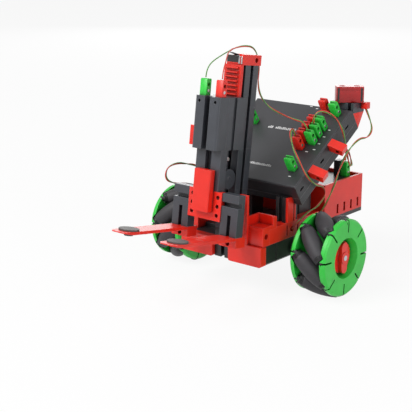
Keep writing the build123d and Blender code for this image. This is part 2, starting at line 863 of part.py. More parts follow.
def make_lift_gearbox():
    """The gearbox: a channel for the rack, hooks behind its edges, a well and bores for the pinion."""
    channel_half = HALF_GRID + MOVING_GAP
    channel_floor = rack_pitch_line + MODULE + MOVING_GAP
    strip_half = strip_width / 2 + MOVING_GAP
    with BuildPart() as gearbox:
        with BuildSketch(MAST.offset(UNIT_BOTTOM)):
            with Locations((0, -(hook_back + motor_start) / 2)):
                Rectangle(UNIT_WIDTH, motor_start - hook_back)
            with Locations((0, -(strip_depth - MOVING_GAP + channel_floor) / 2)):
                height = channel_floor - strip_depth + MOVING_GAP
                Rectangle(2 * channel_half, height, mode=Mode.SUBTRACT)
            with Locations((0, -strip_depth / 2)):
                Rectangle(2 * strip_half, strip_depth, mode=Mode.SUBTRACT)
            with Locations((UNIT_WIDTH / 2, -pinion_n), (-UNIT_WIDTH / 2, -pinion_n)):
                Rectangle(3.0, SLOT_MOUTH, mode=Mode.SUBTRACT)
        extrude(amount=UNIT_HEIGHT)
        with BuildSketch(MAST_SIDE):
            with Locations((pinion_n, pinion_t)):
                Circle(pitch_radius + 1.1 * MODULE)
        extrude(amount=pinion_width / 2 + 0.4, both=True, mode=Mode.SUBTRACT)
        with BuildSketch(MAST_SIDE):
            with Locations((pinion_n, pinion_t)):
                Circle(AXLE_RADIUS + RUNNING_FIT)
        extrude(amount=8.8, both=True, mode=Mode.SUBTRACT)
    return gearbox.part


plug_x = 7.2
plug_n = 25.3


def make_lift_motor():
    """The motor case: rounded front corners, a broad groove down the front, two sockets near the top."""
    groove_width = 4.6
    groove_depth = 6.0
    with BuildPart() as motor:
        with BuildSketch(MAST.offset(UNIT_BOTTOM)):
            with Locations((0, -(motor_start + motor_front) / 2)):
                Rectangle(UNIT_WIDTH, motor_front - motor_start)
        extrude(amount=UNIT_HEIGHT)
        front_edges = motor.edges().filter_by(Axis(foot, up_mast)).group_by(Axis.Y)[0]
        fillet(front_edges, radius=2.0)
        with BuildSketch(MAST.offset(UNIT_BOTTOM)):
            with Locations((0, -motor_front)):
                Rectangle(groove_width, 2 * groove_depth)
        extrude(amount=UNIT_HEIGHT, mode=Mode.SUBTRACT)
        with BuildSketch(Plane(MAST_SIDE.origin, x_dir=(1, 0, 0), z_dir=ahead_mast).offset(motor_front)):
            with Locations((plug_x, unit_top - 3.7), (-plug_x, unit_top - 3.7)):
                Circle(1.1)
        extrude(amount=-2.5, mode=Mode.SUBTRACT)
    return motor.part


def make_plug(plane, x, y, base):
    """A single plug that stands on a face, with a cross hole below its rounded top."""
    with BuildPart() as plug:
        with BuildSketch(plane.offset(base)):
            with Locations((x, y)):
                RectangleRounded(PLUG_WIDTH, PLUG_DEPTH, 0.7)
        extrude(amount=PLUG_HEIGHT)
        with BuildSketch(Plane(plane.origin, x_dir=plane.y_dir, z_dir=plane.x_dir)):
            with Locations((y, base + 0.65 * PLUG_HEIGHT)):
                Circle(1.2)
        extrude(amount=BASE_WIDTH + CONTROLLER_WIDTH, both=True, mode=Mode.SUBTRACT)
        with BuildSketch(plane.offset(base + PLUG_HEIGHT)):
            with Locations((x, y)):
                Rectangle(PLUG_WIDTH, 1.0)
        extrude(amount=-0.8, mode=Mode.SUBTRACT)
    return plug.part


pieces["lift_gearbox"] = [make_lift_gearbox()]
pieces["lift_motor"] = [make_lift_motor()]
pieces["lift_plug_green"] = [make_plug(MAST, -plug_x, -plug_n, unit_top)]
pieces["lift_plug_red"] = [make_plug(MAST, plug_x, -plug_n, unit_top)]

# ---- Carriage and forks --------------------------------------------------------------------

tine_top = 6.0
tine_root_n = (12.5, 23.0)
front_plate_n = 30.0
root_bottom = tine_top - HALF_GRID
# The tines' top face: it starts at the front of their root blocks; y runs backwards.
fork_lean = radians(MAST_LEAN + FORK_RISE)
FORK = Plane(
    origin=MAST.from_local_coords((0, -tine_root_n[1], tine_top)),
    x_dir=(1, 0, 0),
    z_dir=(0, sin(fork_lean), cos(fork_lean)),
)
side_block_n = (16.2, 23.7)
side_block_x = (FORK_SPREAD / 2 - FORK_WIDTH / 2, FORK_SPREAD / 2 + FORK_WIDTH / 2)
side_block_top = tine_top + 2 * GRID
plate_n = (20.0, 24.4)
mount_n = (17.0, 24.4)
mount_half = 11.2
guide_n = GUIDE_RADIUS + MOVING_GAP
guide_t = 43.5
guide_hub_half = 2.5


def make_side_block():
    """The two stacked half blocks over the left tine: one slotted across, one slotted upright."""
    middle = (side_block_x[0] + side_block_x[1]) / 2
    depth = side_block_n[1] - side_block_n[0]
    lower = kit_block(MAST, side_block_x, ahead(*side_block_n), (tine_top, tine_top + GRID), "F")
    with BuildPart() as upper:
        with BuildSketch(MAST.offset(tine_top + GRID)):
            with Locations((middle, -sum(side_block_n) / 2)):
                Rectangle(side_block_x[1] - side_block_x[0], depth)
        extrude(amount=GRID)
        with BuildSketch(MAST_SIDE.offset(-side_block_x[1])):
            with Locations((side_block_n[1], tine_top + 1.5 * GRID)):
                Rectangle(9.0, SLOT_MOUTH)
        extrude(amount=side_block_x[1] - side_block_x[0], mode=Mode.SUBTRACT)
    return [lower, upper.part]


def make_mount_block():
    """The block under the gearbox, with its front groove and the arm that bears the guide rollers."""
    arm_half_height = 4.5
    with BuildPart() as mount:
        with BuildSketch(MAST.offset(side_block_top)):
            with Locations((0, -sum(mount_n) / 2)):
                Rectangle(2 * mount_half, mount_n[1] - mount_n[0])
            with Locations((0, -mount_n[1])):
                Rectangle(5.5, 8.0, mode=Mode.SUBTRACT)
        extrude(amount=UNIT_BOTTOM - side_block_top)
        with BuildSketch(MAST_SIDE):
            with Locations(((guide_n + mount_n[0]) / 2, guide_t)):
                Rectangle(mount_n[0] - guide_n, 2 * arm_half_height)
            with Locations((guide_n, guide_t)):
                Circle(arm_half_height)
                Circle(AXLE_RADIUS + RUNNING_FIT, mode=Mode.SUBTRACT)
        extrude(amount=guide_hub_half, both=True)
    return mount.part


def make_guide_rollers():
    """Two discs on one axle that run down the mast's face."""
    with BuildPart() as guides:
        with BuildSketch(MAST_SIDE):
            with Locations((guide_n, guide_t)):
                Circle(AXLE_RADIUS)
        extrude(amount=7.4, both=True)
        for start in (guide_hub_half + 0.5, -guide_hub_half - 4.5):
            with BuildSketch(MAST_SIDE.offset(start)):
                with Locations((guide_n, guide_t)):
                    Circle(GUIDE_RADIUS)
            extrude(amount=4.0)
    return guides.part


side_blocks = make_side_block()
pieces["carriage_blocks"] = side_blocks + [mirrored(block) for block in side_blocks] + [make_mount_block()]
pieces["guide_rollers"] = [make_guide_rollers()]


def make_frame_plate():
    """The red plate between the side blocks, with holes along its edges."""
    low = tine_top + 9.0
    FRONT = Plane(origin=foot, x_dir=(1, 0, 0), z_dir=ahead_mast)
    with BuildPart() as plate:
        with BuildSketch(FRONT.offset(plate_n[0])):
            with Locations((0, (low + side_block_top) / 2)):
                Rectangle(2 * side_block_x[0], side_block_top - low)
            for x in (side_block_x[0] - 3.5, 3.5 - side_block_x[0]):
                for t in (low + 4.0, low + 10.5, low + 17.0):
                    with Locations((x, t)):
                        Circle(1.5, mode=Mode.SUBTRACT)
        extrude(amount=plate_n[1] - plate_n[0])
    return plate.part


def make_front_plate():
    """The smooth red plate in front of the frame."""
    with BuildPart() as plate:
        with BuildSketch(MAST.offset(tine_top + GRID)):
            with Locations((0, -(plate_n[1] + front_plate_n) / 2)):
                Rectangle(GRID, front_plate_n - plate_n[1])
        extrude(amount=BLOCK_LENGTH)
        fillet(plate.edges().filter_by(Axis(foot, up_mast)), radius=0.8)
    return plate.part


def make_tine_root():
    """The red block under the left side blocks that the tine starts from, with a hole in its front."""
    with BuildPart() as root:
        with BuildSketch(MAST.offset(root_bottom)):
            with Locations((FORK_SPREAD / 2, -sum(tine_root_n) / 2)):
                Rectangle(FORK_WIDTH, tine_root_n[1] - tine_root_n[0])
        extrude(amount=HALF_GRID)
        with BuildSketch(Plane(origin=foot, x_dir=(1, 0, 0), z_dir=ahead_mast).offset(tine_root_n[1])):
            with Locations((FORK_SPREAD / 2, root_bottom + 2.6)):
                Circle(1.8)
        extrude(amount=-5.0, mode=Mode.SUBTRACT)
    return root.part


lug_t = (UNIT_BOTTOM + 1.7, UNIT_BOTTOM + 15.7)
lug = box_between(MAST, (-UNIT_WIDTH / 2 - GRID / 4, -UNIT_WIDTH / 2), ahead(24.0, 29.0), lug_t)
tine_root = make_tine_root()
pieces["carriage_frame"] = [
    make_frame_plate(),
    make_front_plate(),
    tine_root,
    mirrored(tine_root),
    lug,
]

pad_y = FORK_REACH - 12.0 - tine_root_n[1]  # along the tine, from its root
stud_y = pad_y - GRID
pad_radius = 7.3
pad_thick = 1.2
pad_stem = 2.0


def make_tine():
    """The left tine: a flat bar with a tapered tip and a hole for the pad's stem."""
    length = FORK_REACH - tine_root_n[1]
    rise = tan(radians(FORK_RISE))
    taper = 3.0
    wedge = (9.0, 1.4)
    with BuildPart() as tine:
        with BuildSketch(SIDE.offset(side_block_x[0])):
            with BuildLine():
                Polyline(
                    side_point(FORK, 0, 0, 0),
                    side_point(FORK, 0, -length, 0),
                    side_point(FORK, 0, -length, wedge[1] - FORK_THICK),
                    side_point(FORK, 0, wedge[0] - length, -FORK_THICK),
                    side_point(FORK, 0, -FORK_THICK * rise, -FORK_THICK),
                    close=True,
                )
            make_face()
        extrude(amount=FORK_WIDTH)
        tip = tine.edges().filter_by(Axis(FORK.origin, FORK.z_dir)).group_by(Axis.Y)[0]
        chamfer(tip, length=taper)
        with BuildSketch(FORK):
            with Locations((FORK_SPREAD / 2, -pad_y)):
                Circle(pad_stem)
        extrude(amount=-FORK_THICK, mode=Mode.SUBTRACT)
    return tine.part


def make_fork_pad():
    """The round rubber pad on the left tine, with a stem through it and a button below."""
    with BuildPart() as pad:
        with BuildSketch(FORK):
            with Locations((FORK_SPREAD / 2, -pad_y)):
                Circle(pad_radius)
        extrude(amount=pad_thick)
        with BuildSketch(FORK):
            with Locations((FORK_SPREAD / 2, -pad_y)):
                Circle(pad_stem)
        extrude(amount=-FORK_THICK)
        with BuildSketch(FORK.offset(-FORK_THICK)):
            with Locations((FORK_SPREAD / 2, -pad_y)):
                Circle(3.2)
        extrude(amount=-1.6)
    return pad.part


def make_fork_stud():
    """The round rubber stud under the left tine, behind the pad's button."""
    with BuildPart() as stud:
        with BuildSketch(FORK.offset(-FORK_THICK)):
            with Locations((FORK_SPREAD / 2, -stud_y)):
                Circle(2.8)
        extrude(amount=-1.4)
    return stud.part


tine = make_tine()
fork_pad = make_fork_pad()
fork_stud = make_fork_stud()
pieces["fork_tines"] = [tine, mirrored(tine)]
pieces["fork_pads"] = [fork_pad, mirrored(fork_pad), fork_stud, mirrored(fork_stud)]

# ---- Controller ----------------------------------------------------------------------------

inner_half = CONTROLLER_WIDTH / 2 - SHELL_WALL
button_x = -36.0
button_s = 12.0
button_radius = 3.0
button_travel = 1.0
board_thick = 1.6
board_top = -COVER_DEPTH - 0.4


def make_controller_cover():
    """The upper shell of the controller, with side slots and a hole for the button."""
    with BuildPart() as cover:
        with BuildSketch(FACE.offset(-COVER_DEPTH)):
            with Locations((0, CONTROLLER_LENGTH / 2)):
                Rectangle(CONTROLLER_WIDTH, CONTROLLER_LENGTH)
        extrude(amount=COVER_DEPTH)
        top_edges = cover.faces().sort_by(Axis(controller_edge, slope))[-1].edges()
        chamfer(top_edges, length=0.8)
        with BuildSketch(FACE.offset(-COVER_DEPTH)):
            with Locations((0, CONTROLLER_LENGTH / 2)):
                Rectangle(2 * inner_half, CONTROLLER_LENGTH - 2 * SHELL_WALL)
        extrude(amount=COVER_DEPTH - SHELL_WALL, mode=Mode.SUBTRACT)
        with BuildSketch(FACE):
            with Locations((button_x, button_s)):
                Circle(button_radius + 0.1)
        extrude(amount=-SHELL_WALL, mode=Mode.SUBTRACT)
        with BuildSketch(Plane(controller_edge, x_dir=FACE.y_dir, z_dir=(1, 0, 0))):
            for s in (6.0, 36.0, CONTROLLER_LENGTH - 12.0):
                with Locations((s, -7.0)):
                    Rectangle(5.0, 2.0)
        extrude(amount=CONTROLLER_WIDTH, both=True, mode=Mode.SUBTRACT)
    return cover.part


def make_controller_base():
    """The lower shell, with four pillars for the board."""
    depth = CONTROLLER_HEIGHT - COVER_DEPTH
    pillar = board_top - board_thick + CONTROLLER_HEIGHT - SHELL_WALL
    with BuildPart() as base:
        with BuildSketch(FACE.offset(-CONTROLLER_HEIGHT)):
            with Locations((0, CONTROLLER_LENGTH / 2)):
                Rectangle(CONTROLLER_WIDTH, CONTROLLER_LENGTH)
        extrude(amount=depth)
        with BuildSketch(FACE.offset(-CONTROLLER_HEIGHT + SHELL_WALL)):
            with Locations((0, CONTROLLER_LENGTH / 2)):
                Rectangle(2 * inner_half, CONTROLLER_LENGTH - 2 * SHELL_WALL)
        extrude(amount=depth, mode=Mode.SUBTRACT)
        with BuildSketch(FACE.offset(-CONTROLLER_HEIGHT + SHELL_WALL)):
            with Locations((0, CONTROLLER_LENGTH / 2)):
                with GridLocations(CONTROLLER_WIDTH - 14.0, CONTROLLER_LENGTH - 14.0, 2, 2):
                    Circle(2.5)
        extrude(amount=pillar)
    return base.part


def make_circuit_board():
    """The board on its pillars, with the switch that the button presses and the processor."""
    with BuildPart() as board:
        with BuildSketch(FACE.offset(board_top - board_thick)):
            with Locations((0, CONTROLLER_LENGTH / 2)):
                Rectangle(CONTROLLER_WIDTH - 8.0, CONTROLLER_LENGTH - 8.0)
        extrude(amount=board_thick)
        with BuildSketch(FACE.offset(board_top)):
            with Locations((button_x, button_s)):
                Rectangle(5.0, 5.0)
            with Locations((0, CONTROLLER_LENGTH / 2)):
                Rectangle(14.0, 14.0)
        extrude(amount=2.0)
    return board.part


def make_power_button():
    """The push button: its flange is held under the cover, its foot stands over the board's switch."""
    with BuildPart() as button:
        with BuildSketch(FACE.offset(board_top + 2.0 + button_travel + MOVING_GAP)):
            with Locations((button_x, button_s)):
                Circle(button_radius)
        extrude(amount=1.5 - board_top - 2.0 - button_travel - MOVING_GAP)
        with BuildSketch(FACE.offset(-SHELL_WALL - MOVING_GAP - 1.0)):
            with Locations((button_x, button_s)):
                Circle(button_radius + 1.4)
        extrude(amount=1.0)
    return button.part


pieces["controller_cover"] = [make_controller_cover()]
pieces["controller_base"] = [make_controller_base()]
pieces["circuit_board"] = [make_circuit_board()]
pieces["power_button"] = [make_power_button()]

# Places of the plugs on the controller's face, across it and up its slope.
plug_row = CONTROLLER_WIDTH / 2 - 12.0  # outer row of sockets, along the left edge
inner_row = plug_row - 7.0
top_row = CONTROLLER_LENGTH - 5.0
middle_row = CONTROLLER_LENGTH / 2 + 11.0
GREEN_PLUGS = [
    (plug_row, middle_row - 7.8),
    (plug_row, middle_row),
    (plug_row, middle_row + 7.8),
    (plug_row + 2.2, top_row - 2.0),
    (plug_row - 0.2, 17.1),
    (15.7 - CONTROLLER_WIDTH / 2, middle_row + 4.4),
]
RED_PLUGS = [
    (inner_row, middle_row - 15.0),
    (inner_row, middle_row - 7.5),
    (inner_row, middle_row),
    (inner_row, middle_row + 7.8),
    (inner_row - 1.0, top_row),
]
pieces["plugs_green"] = [make_plug(FACE, x, s, 0) for x, s in GREEN_PLUGS]
pieces["plugs_red"] = [make_plug(FACE, x, s, 0) for x, s in RED_PLUGS]


def make_cable_clip(s):
    """A red arm that slopes down from the controller's left wall, with a notch that holds a lead."""
    wall = CONTROLLER_WIDTH / 2
    arm = [(wall, -0.8), (wall, -6.8), (wall + 10.5, -10.0), (wall + 12.0, -5.0)]
    notch = (wall + 7.0, -6.4)
    across = Plane(controller_edge, x_dir=(1, 0, 0), z_dir=-FACE.y_dir)
    with BuildPart() as clip:
        with BuildSketch(across.offset(-s)):
            with BuildLine():
                Polyline(*arm, close=True)
            make_face()
            with Locations(notch):
                Circle(LEAD_DIAMETER, mode=Mode.SUBTRACT)
        extrude(amount=-HALF_GRID)
    return clip.part


pieces["cable_clips"] = [make_cable_clip(18.0), make_cable_clip(47.0)]

# ---- Battery -------------------------------------------------------------------------------

tray_top = motor_top + TRAY_TOP
tray_wall = 2.0
pack_gap = 2.0
pack_top = tray_top - 2.5
battery_plug = (half_base - 11.0, DECK_REAR - 8.5)


def make_battery_tray():
    """The red basket on the rear deck, with upright slits low in its side walls."""
    length = DECK_REAR - TRAY_FRONT
    middle = (DECK_REAR + TRAY_FRONT) / 2
    with BuildPart() as tray:
        with BuildSketch(Plane.XY.offset(deck_top)):
            with Locations((0, middle)):
                Rectangle(BASE_WIDTH, length)
        extrude(amount=tray_top - deck_top)
        with BuildSketch(Plane.XY.offset(deck_top + tray_wall)):
            with Locations((0, middle)):
                Rectangle(BASE_WIDTH - 2 * tray_wall, length - 2 * tray_wall)
        extrude(amount=tray_top, mode=Mode.SUBTRACT)
        with BuildSketch(SIDE):
            for number in range(4):
                with Locations((DECK_REAR - 6.0 - 9.6 * number, deck_top + 5.5)):
                    Rectangle(2.4, 7.5)
        extrude(amount=BASE_WIDTH, both=True, mode=Mode.SUBTRACT)
    return tray.part


def make_battery_pack():
    """The battery pack, standing on the basket's floor."""
    length = DECK_REAR - TRAY_FRONT - 2 * (tray_wall + pack_gap)
    width = BASE_WIDTH - 2 * (tray_wall + pack_gap)
    connector = (5.0, 7.0)
    with BuildPart() as pack:
        with BuildSketch(Plane.XY.offset(deck_top + tray_wall)):
            with Locations((0, (DECK_REAR + TRAY_FRONT) / 2)):
                RectangleRounded(width, length, 3.0)
        extrude(amount=pack_top - deck_top - tray_wall)
        with BuildSketch(Plane.XY.offset(pack_top)):
            with Locations((battery_plug[0] - PLUG_WIDTH, battery_plug[1])):
                Rectangle(*connector)
        extrude(amount=PLUG_HEIGHT)
    return pack.part


pieces["battery_tray"] = [make_battery_tray()]
pieces["battery_pack"] = [make_battery_pack()]
pieces["plugs_green"].append(make_plug(Plane.XY, *battery_plug, pack_top))

# ---- Sensor head ---------------------------------------------------------------------------

head_left = CONTROLLER_WIDTH / 2
rear_low = FACE.from_local_coords((0, CONTROLLER_LENGTH, -CONTROLLER_HEIGHT))
head_rise = 12.3
head_floor = rear_low.Z + head_rise
head_y = (rear_low.Y - 7.7, rear_low.Y - 7.7 + GRID)
block_height = 7.5
head_size = (21.0, 9.5, 12.3)
head_turn = 40.0
socket_width = 13.5


def make_head_wedge():
    """The red angle block that levels the head against the controller's sloping rear face."""
    climb = head_rise / cos(radians(CONTROLLER_TILT))
    rear_high = FACE.from_local_coords((0, CONTROLLER_LENGTH, -CONTROLLER_HEIGHT + climb))
    outline = [(rear_low.Y, rear_low.Z), (head_y[1], head_floor), (rear_high.Y, rear_high.Z)]
    return outline_part(SIDE, outline, (head_left - HALF_GRID, head_left))


def make_head_socket():
    """The black socket beside the grey block."""
    with BuildPart() as socket:
        with BuildSketch(Plane.XY.offset(head_floor)):
            with Locations((head_left - HALF_GRID - socket_width / 2, sum(head_y) / 2)):
                Rectangle(socket_width, head_y[1] - head_y[0])
        extrude(amount=block_height)
    return socket.part


def make_sensor_head():
    """The red head box, turned on its mount, with two cross holes in its top."""
    centre = (head_left - 7.6, sum(head_y) / 2 - 2.0, head_floor + block_height)
    turn = radians(head_turn)
    TOP = Plane(origin=centre, x_dir=(cos(turn), sin(turn), 0), z_dir=(0, 0, 1))
    with BuildPart() as head:
        with BuildSketch(TOP):
            Rectangle(head_size[0], head_size[1])
        extrude(amount=head_size[2])
        fillet(head.edges().filter_by(Axis.Z), radius=0.8)
        with BuildSketch(TOP.offset(head_size[2])):
            with Locations((-5.5, 0), (5.5, 0)):
                Circle(SLOT_RADIUS)
        extrude(amount=-3.0, mode=Mode.SUBTRACT)
    return head.part


plug_y = (head_y[1] - 5.0, head_y[1])
plug_z = (head_floor + 2.5, head_floor + 7.5)
head_plug = box_between(Plane.XY, (head_left, head_left + 5.5), plug_y, plug_z)
pieces["sensor_head"] = [make_sensor_head(), make_head_wedge(), head_plug]
pieces["head_mount"] = [
    kit_block(
        Plane.XY, (head_left - HALF_GRID, head_left), head_y, (head_floor, head_floor + block_height), "F"
    ),
    make_head_socket(),
]

# ---- Leads ---------------------------------------------------------------------------------


def lead(points):
    """A round lead of straight runs joined by arcs, along points chosen by hand."""
    corners = [Vector(*point) for point in points]
    radii = []
    for before, here, after in zip(corners, corners[1:], corners[2:]):
        turn = radians((here - before).get_angle(after - here))
        shorter = min((here - before).length, (after - here).length)
        radii.append(0.45 * shorter / tan(turn / 2))
    print("lead radii", [round(radius, 1) for radius in radii])
    with BuildPart() as tube:
        with BuildLine() as path:
            FilletPolyline(*corners, radius=radii)
        with BuildSketch(Plane(origin=path.line @ 0, z_dir=path.line % 0)):
            Circle(LEAD_DIAMETER / 2)
        sweep()
    return tube.part


# Each lead's points, from one end to the other.
LIFT_LEAD = [
    (-7.2, -49.2, 157.6),
    (-7.0, -48.8, 163.2),
    (-6.5, -44.0, 168.4),
    (-5.0, -34.7, 172.6),
    (-4.0, -24.0, 175.0),
    (-2.5, -14.0, 176.6),
    (-1.2, -4.0, 175.6),
    (-0.8, 2.0, 169.0),
    (-0.6, 3.2, 160.0),
    (0.0, 0.4, 150.0),
    (2.0, 0.6, 140.0),
    (7.0, 5.2, 131.0),
    (15.0, 10.8, 124.8),
    (24.0, 14.8, 121.6),
    (31.5, 17.6, 120.6),
    (33.0, 19.75, 114.1),
]
LIFT_LEAD_BRANCH = [
    (7.2, -49.2, 157.6),
    (7.2, -48.4, 163.5),
    (5.5, -43.5, 168.6),
    (1.5, -37.0, 171.8),
    (-2.8, -30.5, 173.6),
]
MOTOR_LEAD_LEFT = [
    (26.0, 13.67, 110.2),
    (26.5, 9.6, 117.0),
    (30.0, 0.6, 115.0),
    (37.0, -5.0, 105.5),
    (44.5, -6.0, 95.5),
    (49.0, -3.5, 85.5),
    (49.5, 7.0, 77.5),
    (48.5, 19.0, 74.5),
    (46.0, 26.5, 66.0),
    (43.0, 20.0, 57.5),
    (43.0, 9.0, 56.0),
    (41.5, -0.5, 50.5),
    (37.2, -4.3, 44.5),
]
MOTOR_LEAD_RIGHT = [
    (-37.2, -4.3, 44.5),
    (-42.0, -7.5, 51.0),
    (-45.0, -14.0, 61.0),
    (-46.0, -25.0, 69.5),
    (-47.0, -38.0, 71.5),
    (-48.0, -48.5, 76.5),
    (-48.5, -46.5, 85.5),
    (-48.5, -34.0, 87.0),
    (-49.5, -21.0, 83.5),
    (-51.0, -10.0, 80.5),
    (-45.1, -3.7, 76.0),
]
HEAD_LEAD = [
    (48.3, 74.5, 124.4),
    (51.0, 76.0, 117.5),
    (53.5, 77.0, 108.5),
    (53.5, 70.0, 103.0),
    (53.0, 60.0, 104.5),
    (52.0, 49.5, 99.5),
    (50.0, 42.5, 90.5),
    (49.0, 37.0, 80.0),
    (47.5, 32.5, 68.0),
    (44.5, 28.0, 56.0),
    (41.5, 24.0, 49.5),
    (37.2, 21.5, 44.5),
]
BATTERY_LEAD = [
    (33.0, 26.3, 118.2),
    (34.5, 23.5, 124.9),
    (39.3, 28.2, 129.2),
    (46.0, 36.0, 123.5),
    (48.5, 42.0, 114.0),
    (48.5, 46.5, 103.5),
    (48.0, 50.5, 92.5),
    (47.0, 56.0, 83.5),
    (44.5, 64.0, 80.5),
    (38.0, 71.0, 87.0),
    (31.0, 76.5, 90.5),
    (27.0, 82.0, 87.5),
    (26.5, 82.5, 79.3),
]

pieces["lift_lead"] = [lead(LIFT_LEAD), lead(LIFT_LEAD_BRANCH)]
pieces["motor_lead_left"] = [lead(MOTOR_LEAD_LEFT)]
pieces["motor_lead_right"] = [lead(MOTOR_LEAD_RIGHT)]
pieces["head_lead"] = [lead(HEAD_LEAD)]
pieces["battery_lead"] = [lead(BATTERY_LEAD)]

# ---- Writing the pieces --------------------------------------------------------------------

fork_tip = FORK.from_local_coords((0, tine_root_n[1] - FORK_REACH, 0)).Y
to_middle = Location((0, -(fork_tip + DECK_REAR) / 2, 0))

for name, parts in pieces.items():
    parts = [part.moved(to_middle) for part in parts]
    piece = parts[0] if len(parts) == 1 else Compound(children=parts)
    piece.label = name
    export_step(piece, f"parts/{name}.step")
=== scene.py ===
# %% [markdown]
# # A forklift robot from a construction kit
#
# The robot is made of injection-moulded plastic blocks on a 15 mm grid, with rubber rollers and
# steel axles. A CAD model gives every part its shape, its size and its way of moving, so this
# notebook doesn't model the robot a second time. It loads the CAD parts as a fixed frame and gives
# each one its real finish. Then it builds in mesh code what the CAD parts leave plain: the two-core
# leads, the plugs, the rollers' ribbed ends, the sensor head and the small metal parts.

# %% Load the CAD parts
import json
from math import cos, pi, radians, sin, sqrt

import bmesh
import bpy
from mathutils import Matrix, Vector


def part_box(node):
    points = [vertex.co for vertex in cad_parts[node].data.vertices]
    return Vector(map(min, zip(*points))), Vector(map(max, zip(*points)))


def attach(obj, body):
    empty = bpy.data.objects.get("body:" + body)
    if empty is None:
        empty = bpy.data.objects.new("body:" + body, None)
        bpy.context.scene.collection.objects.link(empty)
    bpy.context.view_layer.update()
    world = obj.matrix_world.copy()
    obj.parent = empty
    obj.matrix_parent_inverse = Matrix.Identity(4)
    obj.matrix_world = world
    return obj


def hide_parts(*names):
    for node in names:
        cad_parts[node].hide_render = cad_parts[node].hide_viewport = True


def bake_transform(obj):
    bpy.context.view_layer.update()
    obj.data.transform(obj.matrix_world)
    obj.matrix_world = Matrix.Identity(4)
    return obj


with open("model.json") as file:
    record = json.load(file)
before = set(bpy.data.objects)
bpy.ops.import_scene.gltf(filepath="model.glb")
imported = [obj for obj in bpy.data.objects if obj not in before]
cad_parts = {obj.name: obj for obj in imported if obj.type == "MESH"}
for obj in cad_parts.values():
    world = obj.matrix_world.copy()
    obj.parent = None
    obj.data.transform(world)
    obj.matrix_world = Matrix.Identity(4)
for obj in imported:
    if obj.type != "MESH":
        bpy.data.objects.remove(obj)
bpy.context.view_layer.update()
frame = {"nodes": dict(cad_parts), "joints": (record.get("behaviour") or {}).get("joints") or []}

MM = 0.001

# %% [markdown]
# ## The robot's own axes
#
# Everything on the robot stands square to one of three things: the floor, the mast, which leans
# back 7.5 degrees, or the controller's face, which slopes at 32.5 degrees. We could turn each piece
# by hand, but it is easier to draw it in millimetres in the axes it belongs to and to send all its
# points through one matrix. The wheels' axle tells us where the robot's own zero is.

# %% Axes for the floor, the mast and the controller's face
def middle_of(node):
    """The centre of a CAD part's box."""
    low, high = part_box(node)
    return (low + high) / 2


wheels_y = middle_of("wheel_axle_left").y


def from_wheels(x, y, z):
    """A point in metres, from millimetres that start on the floor midway between the wheels."""
    return Vector((x * MM, wheels_y + y * MM, z * MM))


def tipped(corner, degrees):
    """Axes in millimetres that start at a corner and are tipped about the robot's X axis."""
    turn = Matrix.Rotation(radians(degrees), 4, "X")
    return Matrix.Translation(corner) @ turn @ Matrix.Scale(MM, 4)


MAST_LEAN = 7.5
MAST_FOOT = (0, -39.2, 40)
FACE_TILT = 32.5
FACE_CORNER = (0, -12.5, 78.7)
floor_axes = tipped(from_wheels(0, 0, 0), 0)
mast_axes = tipped(from_wheels(*MAST_FOOT), -MAST_LEAN)  # y backwards, z up the mast
face_axes = tipped(from_wheels(*FACE_CORNER), FACE_TILT)  # y up the slope, z out of the face
print("wheels at y =", round(wheels_y / MM, 1), "mm")

# %% [markdown]
# ## Camera
#
# We look at the robot from a little above through a long lens, as in a product shot, so it shows
# little perspective. The camera stands ahead of the robot on its left, eight tenths of a metre
# away, and looks down by 15 degrees.

# %% Camera
LENS_MM = 93.5
CAMERA_PLACE = (474.8, -624.2, 270.6)
LOOK_DOWN = 15.43
LOOK_LEFT = 40
camera = bpy.data.objects.new("camera", bpy.data.cameras.new("camera"))
camera.data.lens = LENS_MM
camera.location = from_wheels(*CAMERA_PLACE)
camera.rotation_euler = (radians(90 - LOOK_DOWN), 0, radians(LOOK_LEFT))
bpy.context.collection.objects.link(camera)
bpy.context.scene.camera = camera
print("camera at", CAMERA_PLACE, "mm with a", LENS_MM, "mm lens")

# %% [markdown]
# ## Studio
#
# The background is plain white. A white floor under a white world does that. Only the camera, and
# what is mirrored in metal or seen through glass, gets the world at full strength, so the light on
# the robot stays at the level of a soft box. The soft box itself is a large lamp above the robot's
# front left. A second, weaker lamp opens the shadows on the other side, and a weak one behind the
# robot lays a pale sheen along the tops of the forks.

# %% One function for colours and one for nodes
def srgb(code):
    """A colour written as #RRGGBB, as the linear numbers that Blender works with."""
    parts = [int(code[i : i + 2], 16) / 255 for i in (1, 3, 5)]
    return [p / 12.92 if p <= 0.04045 else ((p + 0.055) / 1.055) ** 2.4 for p in parts] + [1.0]


def add_node(tree, kind, inputs=None, **settings):
    """Adds a node with its settings. An input takes a value, or another node's socket to link."""
    node = tree.nodes.new(kind)
    for name, value in settings.items():
        setattr(node, name, value)
    for name, value in (inputs or {}).items():
        if isinstance(value, bpy.types.NodeSocket):
            tree.links.new(value, node.inputs[name])
        else:
            node.inputs[name].default_value = value
    return node


def new_material(name):
    """An empty material, and its node tree."""
    material = bpy.data.materials.new(name)
    material.use_nodes = True
    material.node_tree.nodes.clear()
    print("finish", name)
    return material, material.node_tree


def sees_background(tree):
    """1 for a ray from the camera, from a mirroring surface or through glass, and else 0."""
    path = add_node(tree, "ShaderNodeLightPath")
    seen = path.outputs["Is Camera Ray"]
    for ray in ("Is Glossy Ray", "Is Transmission Ray"):
        either = {0: seen, 1: path.outputs[ray]}
        seen = add_node(tree, "ShaderNodeMath", either, operation="MAXIMUM").outputs[0]
    return seen


